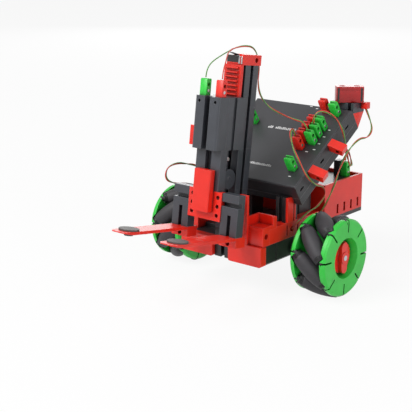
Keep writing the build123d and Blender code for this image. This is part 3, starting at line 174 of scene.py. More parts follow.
# %% World
SKY_LIGHT = 0.3  # strength at which the world lights the robot
scene = bpy.context.scene
scene.view_settings.view_transform = "Standard"
scene.world = bpy.data.worlds.new("studio")
scene.world.use_nodes = True
sky = scene.world.node_tree
sky.nodes.clear()
level = add_node(
    sky,
    "ShaderNodeMapRange",
    {"Value": sees_background(sky), "To Min": SKY_LIGHT, "To Max": 1.0},
)
light = add_node(
    sky,
    "ShaderNodeBackground",
    {"Color": srgb("#FFFFFF"), "Strength": level.outputs[0]},
)
add_node(sky, "ShaderNodeOutputWorld", {"Surface": light.outputs[0]})
print("world", SKY_LIGHT, "as a light, 1.0 as a background")

# %% Floor
FLOOR_REACH = 6.0  # metres from the middle to each side
FLOOR_GLOW = 0.9  # share of pure white in what the camera sees, the rest shows the shadow
reach = FLOOR_REACH
floor_mesh = bpy.data.meshes.new("floor")
corners = [(-reach, -reach, 0), (reach, -reach, 0), (reach, reach, 0), (-reach, reach, 0)]
floor_mesh.from_pydata(corners, [], [(0, 1, 2, 3)])
floor = bpy.data.objects.new("floor", floor_mesh)
bpy.context.collection.objects.link(floor)

paper, tree = new_material("white_background_paper")
share = add_node(
    tree,
    "ShaderNodeMath",
    {0: sees_background(tree), 1: FLOOR_GLOW},
    operation="MULTIPLY",
)
matt = add_node(tree, "ShaderNodeBsdfDiffuse", {"Color": srgb("#F2F2F2")})
glow = add_node(tree, "ShaderNodeEmission", {"Color": srgb("#FFFFFF"), "Strength": 1.0})
both = add_node(
    tree,
    "ShaderNodeMixShader",
    {0: share.outputs[0], 1: matt.outputs[0], 2: glow.outputs[0]},
)
add_node(tree, "ShaderNodeOutputMaterial", {"Surface": both.outputs[0]})
floor_mesh.materials.append(paper)
print("floor", 2 * FLOOR_REACH, "m square")


# %% Lamps
AIM = (0, 0, 80)
LAMPS = {  # place in metres, width in metres, watts
    "soft_box": ((-0.45, -1.15, 1.3), 0.9, 24),
    "fill": ((1.5, -0.3, 0.7), 0.9, 9),
    "sheen": ((-1.1, 1.35, 0.5), 0.7, 5),
}


def add_soft_box(name, place, size, power):
    """A square lamp that faces the middle of the robot."""
    lamp = bpy.data.lights.new(name, "AREA")
    lamp.size = size
    lamp.energy = power
    box = bpy.data.objects.new(name, lamp)
    box.location = place
    aim = from_wheels(*AIM) - box.location
    box.rotation_euler = aim.to_track_quat("-Z", "Y").to_euler()
    bpy.context.collection.objects.link(box)


for name, (place, size, power) in LAMPS.items():
    add_soft_box(name, place, size, power)
    print(name, power, "W")

# %% [markdown]
# ## Leads
#
# Each lead is a flat two-core cable: a red and a green core of soft PVC, moulded side by side,
# 1.6 mm across both. Such a lead is stiff enough to stand in the arcs it was bent into. The route
# is a short list of points in metres, the same as in the CAD part but for one more on the short
# branch, and a NURBS spline of order 3 makes one smooth line of them. We read points along that
# line and sweep the two cores along them, with a slow twist, because a flat lead never lies flat
# all the way.

# %% Two finishes for the cores
LEAD_WIDTH = 1.6 * MM
CORE_RADIUS = 0.27 * LEAD_WIDTH
UNEVEN_MM = 4.0  # how far apart the insulation's colour changes


def object_mm(tree):
    """The object's own coordinates in millimetres, so that a scale is one over a real size."""
    place = add_node(tree, "ShaderNodeTexCoord")
    metres = {0: place.outputs["Object"], "Scale": 1 / MM}
    return add_node(tree, "ShaderNodeVectorMath", metres, operation="SCALE").outputs[0]


def pvc_insulation(name, colour):
    """Soft PVC, extruded over copper: smooth, a little waxy, slightly uneven in colour."""
    material, tree = new_material(name)
    mm = object_mm(tree)
    uneven = add_node(
        tree,
        "ShaderNodeTexNoise",
        {"Vector": mm, "Scale": 1 / UNEVEN_MM, "Detail": 3.0},
    )
    darker = [0.75 * c for c in srgb(colour)[:3]] + [1.0]
    tint = add_node(
        tree,
        "ShaderNodeMix",
        {0: uneven.outputs["Fac"], 6: darker, 7: srgb(colour)},
        data_type="RGBA",
    )
    rough = add_node(
        tree,
        "ShaderNodeMapRange",
        {"Value": uneven.outputs["Fac"], "To Min": 0.3, "To Max": 0.45},
    )
    shader = add_node(
        tree,
        "ShaderNodeBsdfPrincipled",
        {"Base Color": tint.outputs[2], "Roughness": rough.outputs[0], "IOR": 1.53},
    )
    add_node(tree, "ShaderNodeOutputMaterial", {"Surface": shader.outputs[0]})
    return material


red_pvc = pvc_insulation("red_pvc_insulation", "#D8402F")
green_pvc = pvc_insulation("green_pvc_insulation", "#5C9A45")


# %% From a few points to a smooth line
def smooth_line(points):
    """Points along a NURBS spline that has the route's points as its control points."""
    curve = bpy.data.curves.new("route", "CURVE")
    curve.dimensions = "3D"
    curve.resolution_u = 10
    spline = curve.splines.new("NURBS")
    spline.points.add(len(points) - 1)
    for control, (x, y, z) in zip(spline.points, points):
        control.co = (x, y + wheels_y, z, 1)
    spline.order_u = 3
    spline.use_endpoint_u = True
    route = bpy.data.objects.new("route", curve)
    line = [v.co.copy() for v in bpy.data.meshes.new_from_object(route).vertices]
    bpy.data.curves.remove(curve)
    return line


CORE_SIDES = 8


def axes_along(line):
    """At each point of a line, two directions square to it that turn as little as they can."""
    ahead = [(b - a).normalized() for a, b in zip(line, line[1:])]
    ahead.append(ahead[-1])
    side = ahead[0].orthogonal().normalized()
    found = []
    for direction in ahead:
        side = (side - side.dot(direction) * direction).normalized()
        found.append((side, direction.cross(side)))
    return found


def sweep_core(bm, line, centre, radius, finish):
    """A round core along part of a line. centre gives its place across the line at each point."""
    rings = []
    for i, (point, (side, up)) in enumerate(zip(line, axes_along(line))):
        across, along = centre(i)
        ring = []
        for k in range(CORE_SIDES):
            angle = 2 * pi * k / CORE_SIDES
            sideways = side * (across + radius * cos(angle))
            ring.append(bm.verts.new(point + sideways + up * (along + radius * sin(angle))))
        rings.append(ring)
    for near, far in zip(rings, rings[1:]):
        for k in range(CORE_SIDES):
            after = (k + 1) % CORE_SIDES
            face = bm.faces.new((near[k], near[after], far[after], far[k]))
            face.material_index = finish
    for end in (rings[0][::-1], rings[-1]):
        bm.faces.new(end).material_index = finish


# %% Lay the leads
TWIST = 38 * MM  # length of lead in one full turn of its two cores
CORE_GAP = 0.96 * CORE_RADIUS  # from the lead's middle to a core's, so that the cores are joined


def lay_lead(name, points, red_from=0, green_from=0, replaces=None, body="root"):
    """A two-core lead along a route. A core may start later, where the other lead joins."""
    line = smooth_line(points)
    travelled = [0.0]
    for a, b in zip(line, line[1:]):
        travelled.append(travelled[-1] + (b - a).length)
    single = red_from is None or green_from is None
    gap = 0 if single else CORE_GAP
    bm = bmesh.new()
    for finish, start, half_turn in ((0, red_from, 0), (1, green_from, pi)):
        if start is None:
            continue

        def centre(i):
            angle = 2 * pi * travelled[i + start] / TWIST + half_turn
            return gap * cos(angle), gap * sin(angle)

        sweep_core(bm, line[start:], centre, CORE_RADIUS, finish)
    mesh = bpy.data.meshes.new(name)
    bm.to_mesh(mesh)
    bm.free()
    mesh.materials.append(red_pvc)
    mesh.materials.append(green_pvc)
    mesh.polygons.foreach_set("use_smooth", [True] * len(mesh.polygons))
    lead = bpy.data.objects.new(name, mesh)
    bpy.context.collection.objects.link(lead)
    if body:
        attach(lead, body)
    if replaces:
        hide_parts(replaces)
    return lead


LIFT_LEAD = [
    (-0.0072, -0.0492, 0.1576),
    (-0.0070, -0.0488, 0.1632),
    (-0.0065, -0.0440, 0.1684),
    (-0.0050, -0.0347, 0.1726),
    (-0.0040, -0.0240, 0.1750),
    (-0.0025, -0.0140, 0.1766),
    (-0.0012, -0.0040, 0.1756),
    (-0.0008, 0.0020, 0.1690),
    (-0.0006, 0.0032, 0.1600),
    (0.0000, 0.0004, 0.1500),
    (0.0020, 0.0006, 0.1400),
    (0.0070, 0.0052, 0.1310),
    (0.0150, 0.0108, 0.1248),
    (0.0240, 0.0148, 0.1216),
    (0.0315, 0.0176, 0.1206),
    (0.0330, 0.01975, 0.1141),
]
LIFT_LEAD_BRANCH = [
    (0.0072, -0.0492, 0.1576),
    (0.0072, -0.0484, 0.1635),
    (0.0055, -0.0435, 0.1686),
    (0.0015, -0.0370, 0.1718),
    (-0.0028, -0.0305, 0.1736),
    (-0.0038, -0.0250, 0.1748),
]
MOTOR_LEAD_LEFT = [
    (0.0260, 0.01367, 0.1102),
    (0.0265, 0.0096, 0.1170),
    (0.0300, 0.0006, 0.1150),
    (0.0370, -0.0050, 0.1055),
    (0.0445, -0.0060, 0.0955),
    (0.0490, -0.0035, 0.0855),
    (0.0495, 0.0070, 0.0775),
    (0.0485, 0.0190, 0.0745),
    (0.0460, 0.0265, 0.0660),
    (0.0430, 0.0200, 0.0575),
    (0.0430, 0.0090, 0.0560),
    (0.0415, -0.0005, 0.0505),
    (0.0372, -0.0043, 0.0445),
]
MOTOR_LEAD_RIGHT = [
    (-0.0372, -0.0043, 0.0445),
    (-0.0420, -0.0075, 0.0510),
    (-0.0450, -0.0140, 0.0610),
    (-0.0460, -0.0250, 0.0695),
    (-0.0470, -0.0380, 0.0715),
    (-0.0480, -0.0485, 0.0765),
    (-0.0485, -0.0465, 0.0855),
    (-0.0485, -0.0340, 0.0870),
    (-0.0495, -0.0210, 0.0835),
    (-0.0510, -0.0100, 0.0805),
    (-0.0451, -0.0037, 0.0760),
]
HEAD_LEAD = [
    (0.0483, 0.0745, 0.1244),
    (0.0510, 0.0760, 0.1175),
    (0.0535, 0.0770, 0.1085),
    (0.0535, 0.0700, 0.1030),
    (0.0530, 0.0600, 0.1045),
    (0.0520, 0.0495, 0.0995),
    (0.0500, 0.0425, 0.0905),
    (0.0490, 0.0370, 0.0800),
    (0.0475, 0.0325, 0.0680),
    (0.0445, 0.0280, 0.0560),
    (0.0415, 0.0240, 0.0495),
    (0.0372, 0.0215, 0.0445),
]
BATTERY_LEAD = [
    (0.0330, 0.0263, 0.1182),
    (0.0345, 0.0235, 0.1249),
    (0.0393, 0.0282, 0.1292),
    (0.0460, 0.0360, 0.1235),
    (0.0485, 0.0420, 0.1140),
    (0.0485, 0.0465, 0.1035),
    (0.0480, 0.0505, 0.0925),
    (0.0470, 0.0560, 0.0835),
    (0.0445, 0.0640, 0.0805),
    (0.0380, 0.0710, 0.0870),
    (0.0310, 0.0765, 0.0905),
    (0.0270, 0.0820, 0.0875),
    (0.0265, 0.0825, 0.0793),
]

lay_lead("motor_lead_left_cores", MOTOR_LEAD_LEFT, replaces="motor_lead_left")
lay_lead("motor_lead_right_cores", MOTOR_LEAD_RIGHT, replaces="motor_lead_right")
lay_lead("head_lead_cores", HEAD_LEAD, replaces="head_lead")
lay_lead("battery_lead_cores", BATTERY_LEAD, replaces="battery_lead")

# %% [markdown]
# The lift's lead ends on plugs that travel up and down with the lift, while its other end stays on
# the controller. Its two cores part above the mast: the green one runs to the green plug and the
# red one to the red plug. So the red core of the long piece starts where the short piece meets it.
# Both pieces span between the robot's frame and the lift, so they hang on neither body and stay as
# laid.

# %% Lay the lift's lead
long_line = smooth_line(LIFT_LEAD)
meeting = smooth_line(LIFT_LEAD_BRANCH)[-1]
parting = min(range(len(long_line)), key=lambda i: (long_line[i] - meeting).length)
shared = {"replaces": "lift_lead", "body": None}
lift_lead = lay_lead("lift_lead_cores", LIFT_LEAD, red_from=parting, **shared)
lift_branch = lay_lead("lift_lead_red_core", LIFT_LEAD_BRANCH, green_from=None, **shared)
for piece in (lift_lead, lift_branch):
    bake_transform(piece)

# %% [markdown]
# ## Plastics
#
# All the blocks are ABS, injection moulded in polished steel tools. ABS has an index of refraction
# of about 1.54 and, as moulded, a satin shine. What the eye picks up is small: the fine grain of
# the tool, a faint cloudiness where the melt flowed, and a thin bright line along every edge,
# because no moulded edge is perfectly sharp. The Bevel node rounds the edges for the light without
# adding a single face, and the angle between its normal and the true one marks where an edge is;
# a paler colour is painted there as a highlight. Deep narrow grooves look nearly black, so the
# Ambient Occlusion node paints shade into the colour where the surface is closed in.

# %% ABS
GROOVE_MM = 4.0  # reach of the painted shade in grooves and corners; a groove narrower than this lets little light in
EDGE_MM = 0.5  # rounding of a moulded edge, drawn at twice its real size so that it shows, and width of the painted edge highlight
CLOUD_MM = 14.0  # width of a cloud where the melt flowed
GRAIN_DEPTH_MM = 0.03
# Colour of the painted shade that the Ambient Occlusion node lays into grooves and corners.
PAINTED_SHADE = "#0A0A0B"


def moulded_abs(name, colour, cloudy, shine=0.36, grain_mm=0.5, edge_light=0.35, edge_mm=EDGE_MM):
    """ABS from a polished tool, with satin shine, faint flow clouds, a painted highlight on its
    edges and painted shade in its grooves.
    """
    material, tree = new_material(name)
    mm = object_mm(tree)
    clouds = add_node(
        tree,
        "ShaderNodeTexNoise",
        {"Vector": mm, "Scale": 1 / CLOUD_MM, "Detail": 2.0},
    )
    melt = add_node(
        tree,
        "ShaderNodeMapRange",
        {"Value": clouds.outputs["Fac"], "From Min": 0.3, "From Max": 0.7},
    )
    grain = add_node(
        tree,
        "ShaderNodeTexNoise",
        {"Vector": mm, "Scale": 1 / grain_mm, "Detail": 3.0},
    )
    rounded = add_node(tree, "ShaderNodeBevel", {"Radius": edge_mm * MM}, samples=6)
    open_to_light = add_node(
        tree,
        "ShaderNodeAmbientOcclusion",
        {"Distance": GROOVE_MM * MM},
        samples=6,
    )
    # Painted shade: how far the colour goes towards near black where the surface is closed in.
    shade = add_node(
        tree,
        "ShaderNodeMapRange",
        {
            "Value": open_to_light.outputs["AO"],
            "From Min": 0.25,
            "From Max": 0.8,
            "To Min": 0.75,
            "To Max": 0.0,
        },
    )
    true = add_node(tree, "ShaderNodeNewGeometry")
    agree = add_node(
        tree,
        "ShaderNodeVectorMath",
        {0: rounded.outputs["Normal"], 1: true.outputs["Normal"]},
        operation="DOT_PRODUCT",
    )
    # Mask of the painted edge highlight: where the rounded normal turns away from the true one.
    edge = add_node(
        tree,
        "ShaderNodeMapRange",
        {"Value": agree.outputs["Value"], "From Min": 0.97, "From Max": 0.75, "To Max": edge_light},
    )
    body = add_node(
        tree,
        "ShaderNodeMix",
        {0: melt.outputs[0], 6: srgb(cloudy), 7: srgb(colour)},
        data_type="RGBA",
    )
    # Painted highlight: a paler colour along the edges, where a rounded edge would catch the light.
    highlight_colour = [min(1.0, 0.12 + 1.5 * c) for c in srgb(colour)[:3]] + [1.0]
    with_painted_highlight = add_node(
        tree,
        "ShaderNodeMix",
        {0: edge.outputs[0], 6: body.outputs[2], 7: highlight_colour},
        data_type="RGBA",
    )
    # Painted shade mixed into the colour in grooves and corners.
    with_painted_shade = add_node(
        tree,
        "ShaderNodeMix",
        {0: shade.outputs[0], 6: with_painted_highlight.outputs[2], 7: srgb(PAINTED_SHADE)},
        data_type="RGBA",
    )
    rough = add_node(
        tree,
        "ShaderNodeMapRange",
        {"Value": grain.outputs["Fac"], "To Min": shine - 0.05, "To Max": shine + 0.1},
    )
    bump = add_node(
        tree,
        "ShaderNodeBump",
        {
            "Height": grain.outputs["Fac"],
            "Strength": 0.25,
            "Distance": GRAIN_DEPTH_MM * MM,
            "Normal": rounded.outputs[0],
        },
    )
    shader = add_node(
        tree,
        "ShaderNodeBsdfPrincipled",
        {
            "Base Color": with_painted_shade.outputs[2],
            "Roughness": rough.outputs[0],
            "Normal": bump.outputs[0],
            "IOR": 1.54,
        },
    )
    add_node(tree, "ShaderNodeOutputMaterial", {"Surface": shader.outputs[0]})
    return material


red_abs = moulded_abs("red_moulded_abs", "#E82410", "#DC1E0C")
dark_red_abs = moulded_abs("dark_red_moulded_abs", "#A80A0C", "#960709", shine=0.3)
green_abs = moulded_abs("green_moulded_abs", "#27C63C", "#21B835")
anthracite_abs = moulded_abs("anthracite_moulded_abs", "#3B3E45", "#35383E", edge_light=0.5)
black_abs = moulded_abs("black_moulded_abs", "#1B1B1D", "#161618", edge_light=0.3)
# The controller's case gets a wider and brighter painted edge highlight.
case_look = {"shine": 0.46, "grain_mm": 0.8, "edge_light": 0.9, "edge_mm": 1.0}
case_abs = moulded_abs("controller_case_abs", "#2A2A2E", "#252529", **case_look)

# %% [markdown]
# ## Rubber, steel and the circuit board
#
# The rollers, the pads on the forks and the castor's tyre are moulded rubber: almost as dark as the
# black plastic, but rougher, with a soft broad highlight and a trace of dust in the pores. The
# axles are drawn steel, finished in a lathe, so fine lines run round them. The board is glass
# fibre under green solder mask, with copper tracks that show through as a lighter green.

# %% Rubber
PORE_MM = 0.45
PORE_DEPTH_MM = 0.05
DUST_MM = 6.0  # width of a dusty patch
RUBBER_EDGE_MM = 0.4


def moulded_rubber(name, colour, dusty):
    """Vulcanised rubber: matt, with fine pores."""
    material, tree = new_material(name)
    mm = object_mm(tree)
    pores = add_node(tree, "ShaderNodeTexVoronoi", {"Vector": mm, "Scale": 1 / PORE_MM})
    dust = add_node(
        tree,
        "ShaderNodeTexNoise",
        {"Vector": mm, "Scale": 1 / DUST_MM, "Detail": 5.0},
    )
    patches = add_node(
        tree,
        "ShaderNodeMapRange",
        {"Value": dust.outputs["Fac"], "From Min": 0.4, "From Max": 0.75},
    )
    tint = add_node(
        tree,
        "ShaderNodeMix",
        {0: patches.outputs[0], 6: srgb(colour), 7: srgb(dusty)},
        data_type="RGBA",
    )
    rounded = add_node(tree, "ShaderNodeBevel", {"Radius": RUBBER_EDGE_MM * MM}, samples=6)
    bump = add_node(
        tree,
        "ShaderNodeBump",
        {
            "Height": pores.outputs["Distance"],
            "Strength": 0.3,
            "Distance": PORE_DEPTH_MM * MM,
            "Normal": rounded.outputs[0],
        },
    )
    rough = add_node(
        tree,
        "ShaderNodeMapRange",
        {"Value": dust.outputs["Fac"], "To Min": 0.5, "To Max": 0.7},
    )
    shader = add_node(
        tree,
        "ShaderNodeBsdfPrincipled",
        {
            "Base Color": tint.outputs[2],
            "Roughness": rough.outputs[0],
            "Normal": bump.outputs[0],
            "IOR": 1.52,
        },
    )
    add_node(tree, "ShaderNodeOutputMaterial", {"Surface": shader.outputs[0]})
    return material


roller_rubber = moulded_rubber("roller_rubber", "#29272B", "#343236")
pad_rubber = moulded_rubber("pad_rubber", "#4C4A48", "#585654")


# %% Steel
LINE_MM = 0.3  # from one lathe line to the next
LINE_LENGTH_MM = 9
LINE_DEPTH_MM = 0.02


def turned_steel(name, colour):
    """Bright steel with fine lines round the robot's X axis, as a lathe leaves them."""
    material, tree = new_material(name)
    place = add_node(tree, "ShaderNodeTexCoord")
    along = 1 / (LINE_LENGTH_MM * MM)
    lines = add_node(
        tree,
        "ShaderNodeMapping",
        {"Vector": place.outputs["Object"], "Scale": (1 / (LINE_MM * MM), along, along)},
    )
    marks = add_node(
        tree,
        "ShaderNodeTexNoise",
        {"Vector": lines.outputs[0], "Scale": 1.0, "Detail": 2.0},
    )
    tint = add_node(
        tree,
        "ShaderNodeMix",
        {0: marks.outputs["Fac"], 6: srgb("#A9AAAD"), 7: srgb(colour)},
        data_type="RGBA",
    )
    rough = add_node(
        tree,
        "ShaderNodeMapRange",
        {"Value": marks.outputs["Fac"], "To Min": 0.18, "To Max": 0.36},
    )
    bump = add_node(
        tree,
        "ShaderNodeBump",
        {"Height": marks.outputs["Fac"], "Strength": 0.2, "Distance": LINE_DEPTH_MM * MM},
    )
    shader = add_node(
        tree,
        "ShaderNodeBsdfPrincipled",
        {
            "Base Color": tint.outputs[2],
            "Metallic": 1.0,
            "Roughness": rough.outputs[0],
            "Normal": bump.outputs[0],
        },
    )
    add_node(tree, "ShaderNodeOutputMaterial", {"Surface": shader.outputs[0]})
    return material


axle_steel = turned_steel("turned_axle_steel", "#D6D7D9")


# %% Circuit board
TRACK_GRID_MM = 2.54  # the usual pitch of a board's holes
TRACK_WIDTH_MM = 0.15
TRACK_LENGTH_MM = 5.0


def solder_mask(name):
    """Green solder mask over a grid of fine copper tracks."""
    material, tree = new_material(name)
    mm = object_mm(tree)
    tracks = add_node(
        tree,
        "ShaderNodeTexBrick",
        {
            "Vector": mm,
            "Color1": srgb("#0D4A28"),
            "Color2": srgb("#0F5530"),
            "Mortar": srgb("#2C8450"),
            "Scale": 1.0,
            "Mortar Size": TRACK_WIDTH_MM,
            "Brick Width": TRACK_LENGTH_MM,
            "Row Height": TRACK_GRID_MM,
        },
    )
    shader = add_node(
        tree,
        "ShaderNodeBsdfPrincipled",
        {"Base Color": tracks.outputs["Color"], "Roughness": 0.3, "IOR": 1.55},
    )
    add_node(tree, "ShaderNodeOutputMaterial", {"Surface": shader.outputs[0]})
    return material


board_mask = solder_mask("green_solder_mask")

# %% [markdown]
# ## Dress the CAD parts
#
# They keep their meshes and only get a finish. A short table says which part is made of what.

# %% Which part has which finish
FINISH = {
    red_abs: "hub_nut_left hub_nut_right carriage_frame fork_tines frame_girders front_tray "
    "mast_cap lift_rack battery_tray cable_clips power_button",
    green_abs: "wheel_rim_left wheel_rim_right",
    anthracite_abs: "mast_column carriage_blocks lift_motor lift_gearbox head_mount guide_rollers",
    black_abs: "drive_motor_left drive_motor_right chassis_plates battery_pack castor_bracket "
    "castor_fork lift_pinion limit_switch",
    case_abs: "controller_cover controller_base",
    board_mask: "circuit_board",
    roller_rubber: "castor_wheel",
    pad_rubber: "fork_pads",
    axle_steel: "wheel_axle_left wheel_axle_right",
}
for finish, nodes in FINISH.items():
    for node in nodes.split():
        part = frame["nodes"][node]
        part.data.materials.clear()
        part.data.materials.append(finish)
print("dressed", sum(len(nodes.split()) for nodes in FINISH.values()), "CAD parts")


# %% [markdown]
# ## Tools for small pieces
#
# The rest is built face by face. Nearly every moulded piece is either an outline pushed through a
# thickness or a profile turned round an axis, so three small functions make the solids, the third
# of them from a filled curve, which can have holes in it. One function rounds sharp edges, and one
# hangs the finished mesh on the robot.

# %% Solids, round edges and a home on the robot
def add_prism(bm, outline, low, high, axes=Matrix()):
    """A flat outline of (x, y) points, pushed from one height to another along z."""
    bottom = [bm.verts.new(axes @ Vector((x, y, low))) for x, y in outline]
    top = [bm.verts.new(axes @ Vector((x, y, high))) for x, y in outline]
    bm.faces.new(bottom[::-1])
    bm.faces.new(top)
    for i in range(len(outline)):
        j = (i + 1) % len(outline)
        bm.faces.new((bottom[i], bottom[j], top[j], top[i]))


def rectangle(x, y):
    """The four corners of a rectangle between two limits each way."""
    return [(x[0], y[0]), (x[1], y[0]), (x[1], y[1]), (x[0], y[1])]


def add_turned(bm, profile, axes=Matrix(), steps=32, finish=None):
    """A profile of (radius, height) points turned round z, closed at both ends."""
    rings = []
    for radius, height in profile:
        count = steps if radius > 0 else 1
        ring = []
        for k in range(count):
            angle = 2 * pi * k / steps
            spot = Vector((radius * cos(angle), radius * sin(angle), height))
            ring.append(bm.verts.new(axes @ spot))
        rings.append(ring)
    for number, (near, far) in enumerate(zip(rings, rings[1:])):
        for k in range(steps):
            corners = [near[k % len(near)], near[(k + 1) % len(near)]]
            corners += [far[(k + 1) % len(far)], far[k % len(far)]]
            kept = [v for i, v in enumerate(corners) if v not in corners[:i]]
            face = bm.faces.new(kept)
            face.material_index = finish(number) if finish else 0


HOLE_SIDES = 20


def add_sheet(bm, outline, holes, span, axes=Matrix(), rounding=0.2):
    """An outline with round holes (x, y, radius), pushed along z over a span, its edges rounded."""
    drawing = bpy.data.curves.new("sheet", "CURVE")
    drawing.dimensions = "2D"
    drawing.fill_mode = "BOTH"
    turns = [2 * pi * k / HOLE_SIDES for k in range(HOLE_SIDES)]
    circles = [[(x + r * cos(a), y + r * sin(a)) for a in turns] for x, y, r in holes]
    for loop in [outline] + circles:
        spline = drawing.splines.new("POLY")
        spline.points.add(len(loop) - 1)
        for point, (x, y) in zip(spline.points, loop):
            point.co = (x, y, 0, 1)
        spline.use_cyclic_u = True
    drawing.extrude = (span[1] - span[0]) / 2 - rounding
    drawing.bevel_depth = rounding
    drawing.bevel_resolution = 1
    drawing.offset = -rounding
    solid = bpy.data.objects.new("sheet", drawing)
    mesh = bpy.data.meshes.new_from_object(solid)
    mesh.transform(axes @ Matrix.Translation((0, 0, (span[0] + span[1]) / 2)))
    bm.from_mesh(mesh)
    bpy.data.objects.remove(solid)
    bpy.data.meshes.remove(mesh)
    bpy.data.curves.remove(drawing)


def round_edges(bm, width):
    """Rounds every edge whose faces meet at more than 40 degrees."""
    sharp = [e for e in bm.edges if len(e.link_faces) == 2 and e.calc_face_angle() > radians(40)]
    bmesh.ops.bevel(
        bm,
        geom=sharp,
        offset=width,
        segments=2,
        profile=0.6,
        affect="EDGES",
        clamp_overlap=True,
    )


def add_piece(name, bm, axes, materials, body, replaces=()):
    """A mesh drawn in millimetres, as a piece that rides on one of the robot's bodies."""
    bmesh.ops.recalc_face_normals(bm, faces=bm.faces)
    bm.transform(axes)
    mesh = bpy.data.meshes.new(name)
    bm.to_mesh(mesh)
    bm.free()
    for material in materials:
        mesh.materials.append(material)
    mesh.polygons.foreach_set("use_smooth", [True] * len(mesh.polygons))
    mesh.set_sharp_from_angle(angle=radians(35))
    piece = bpy.data.objects.new(name, mesh)
    bpy.context.collection.objects.link(piece)
    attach(piece, body)
    if replaces:
        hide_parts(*replaces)
    print(name, "with", len(mesh.polygons), "faces")


# %% [markdown]
# ## Rollers
#
# A mecanum wheel carries eight barrel-shaped rollers at 45 degrees. Each is a rubber sleeve on a
# plastic core, whose ribbed black ends snap into the rim. The CAD roller is a plain barrel with
# two pins. We turn the same barrel again, and give its black caps their ribs. The record of the
# joints says where each roller's axis is, so no place is typed in here.

# %% Roller profile
BARREL = 6.5  # largest radius
BARREL_HALF = 15.5
BARREL_END = 4.27  # radius at the barrel's ends
PIN = 2.2
PIN_LENGTH = 2.4
CAP = 3.0  # length of the ribbed cap at each end of the barrel
RIBS = 4
RIB_STEP = 0.65
RIB_DEPTH = 0.4
swell = (BARREL_HALF**2 + (BARREL - BARREL_END) ** 2) / (2 * (BARREL - BARREL_END))


def barrel_radius(height):
    """The barrel's radius, which follows a large arc."""
    return BARREL - swell + sqrt(swell**2 - height**2)


def roller_profile():
    """The half outline of a roller from one end to the other, and where its rubber starts."""
    end = [(0, 0), (PIN - 0.4, 0), (PIN, 0.4), (PIN, PIN_LENGTH - 0.05)]
    low = [(radius, height - BARREL_HALF - PIN_LENGTH) for radius, height in end]
    low += [(BARREL_END - 0.5, -BARREL_HALF), (BARREL_END - 0.1, 0.2 - BARREL_HALF)]
    for rib in range(RIBS):
        start = 0.4 + rib * RIB_STEP - BARREL_HALF
        crest, root = barrel_radius(start), barrel_radius(start) - RIB_DEPTH
        low += [(crest, start), (root, start + 0.1), (root, start + 0.3), (crest, start + 0.4)]
    sleeve = BARREL_HALF - CAP
    barrel = [(barrel_radius(h), h) for h in [sleeve * (k / 6 - 1) for k in range(13)]]
    mirrored = [(radius, -height) for radius, height in reversed(low)]
    return low + barrel + mirrored, len(low)


profile, rubber_starts = roller_profile()


def roller_finish(number):
    """Rubber on the barrel and black plastic on the two ribbed caps."""
    return 0 if rubber_starts <= number < len(profile) - 1 - rubber_starts else 1


# %% Sixteen rollers
rollers = [j for j in frame["joints"] if j["name"].startswith("roller_")]
for joint in rollers:
    turn = Vector(joint["axis"]).to_track_quat("Z", "Y").to_matrix().to_4x4()
    axes = Matrix.Translation(Vector(joint["pos_m"])) @ turn @ Matrix.Scale(MM, 4)
    bm = bmesh.new()
    add_turned(bm, profile, steps=28, finish=roller_finish)
    body = joint["child"]
    add_piece(body + "_barrel", bm, axes, [roller_rubber, black_abs], body, [body])
print(len(rollers), "rollers")

# %% [markdown]
# ## Plugs
#
# There are fourteen plugs, twelve on the robot's frame and two on the lift. Each is a small block
# that clamps the end of a lead: the lead goes in at a notch in the top, a screw in the side holds
# it, and a cross hole takes a second lead. The CAD parts hold plainer blocks, so we read their
# places from the CAD meshes and put a finished plug at each.

# %% Find the separate solids of a CAD part
def loose_parts(node):
    """The points of each separate solid in a CAD part."""
    bm = bmesh.new()
    bm.from_mesh(frame["nodes"][node].data)
    bmesh.ops.remove_doubles(bm, verts=bm.verts, dist=0.001 * MM)
    bm.verts.index_update()
    waiting = set(bm.verts)
    parts = []
    while waiting:
        group, edge_of_group = set(), {min(waiting, key=lambda v: v.index)}
        while edge_of_group:
            group |= edge_of_group
            edge_of_group = {e.other_vert(v) for v in edge_of_group for e in v.link_edges} - group
        waiting -= group
        parts.append([v.co.copy() for v in sorted(group, key=lambda v: v.index)])
    bm.free()
    return parts


def box_in(points, axes):
    """The lowest and highest corner of some points in other axes."""
    local = [axes.inverted() @ p for p in points]
    low = Vector(min(p[k] for p in local) for k in range(3))
    high = Vector(max(p[k] for p in local) for k in range(3))
    return low, high


def plug_axes(points, choices):
    """Axes at the middle of a plug's foot, in whichever choice of axes it stands square."""
    def volume(axes):
        low, high = box_in(points, axes)
        return (high.x - low.x) * (high.y - low.y) * (high.z - low.z)

    axes = min(choices, key=volume)
    low, high = box_in(points, axes)
    return axes @ Matrix.Translation(((low.x + high.x) / 2, (low.y + high.y) / 2, low.z))


# %% One plug
PLUG = (6.0, 5.0, 12.5)  # across, deep, high
PLUG_HOLE = 1.25
HOLE_UP, SCREW_UP = 0.62, 0.27  # shares of the height
SCREW = [(1.15, -0.3), (1.15, 0.04), (0.95, 0.12), (0.3, 0.12), (0.3, 0.02), (0, 0.02)]
SIDEWAYS = Matrix(((0, 0, 1, 0), (1, 0, 0, 0), (0, 1, 0, 0), (0, 0, 0, 1)))  # pushes along x


def facing_out(side):
    """A turn that points z to one side or the other along x."""
    return Matrix.Rotation(radians(90 * side), 4, "Y")


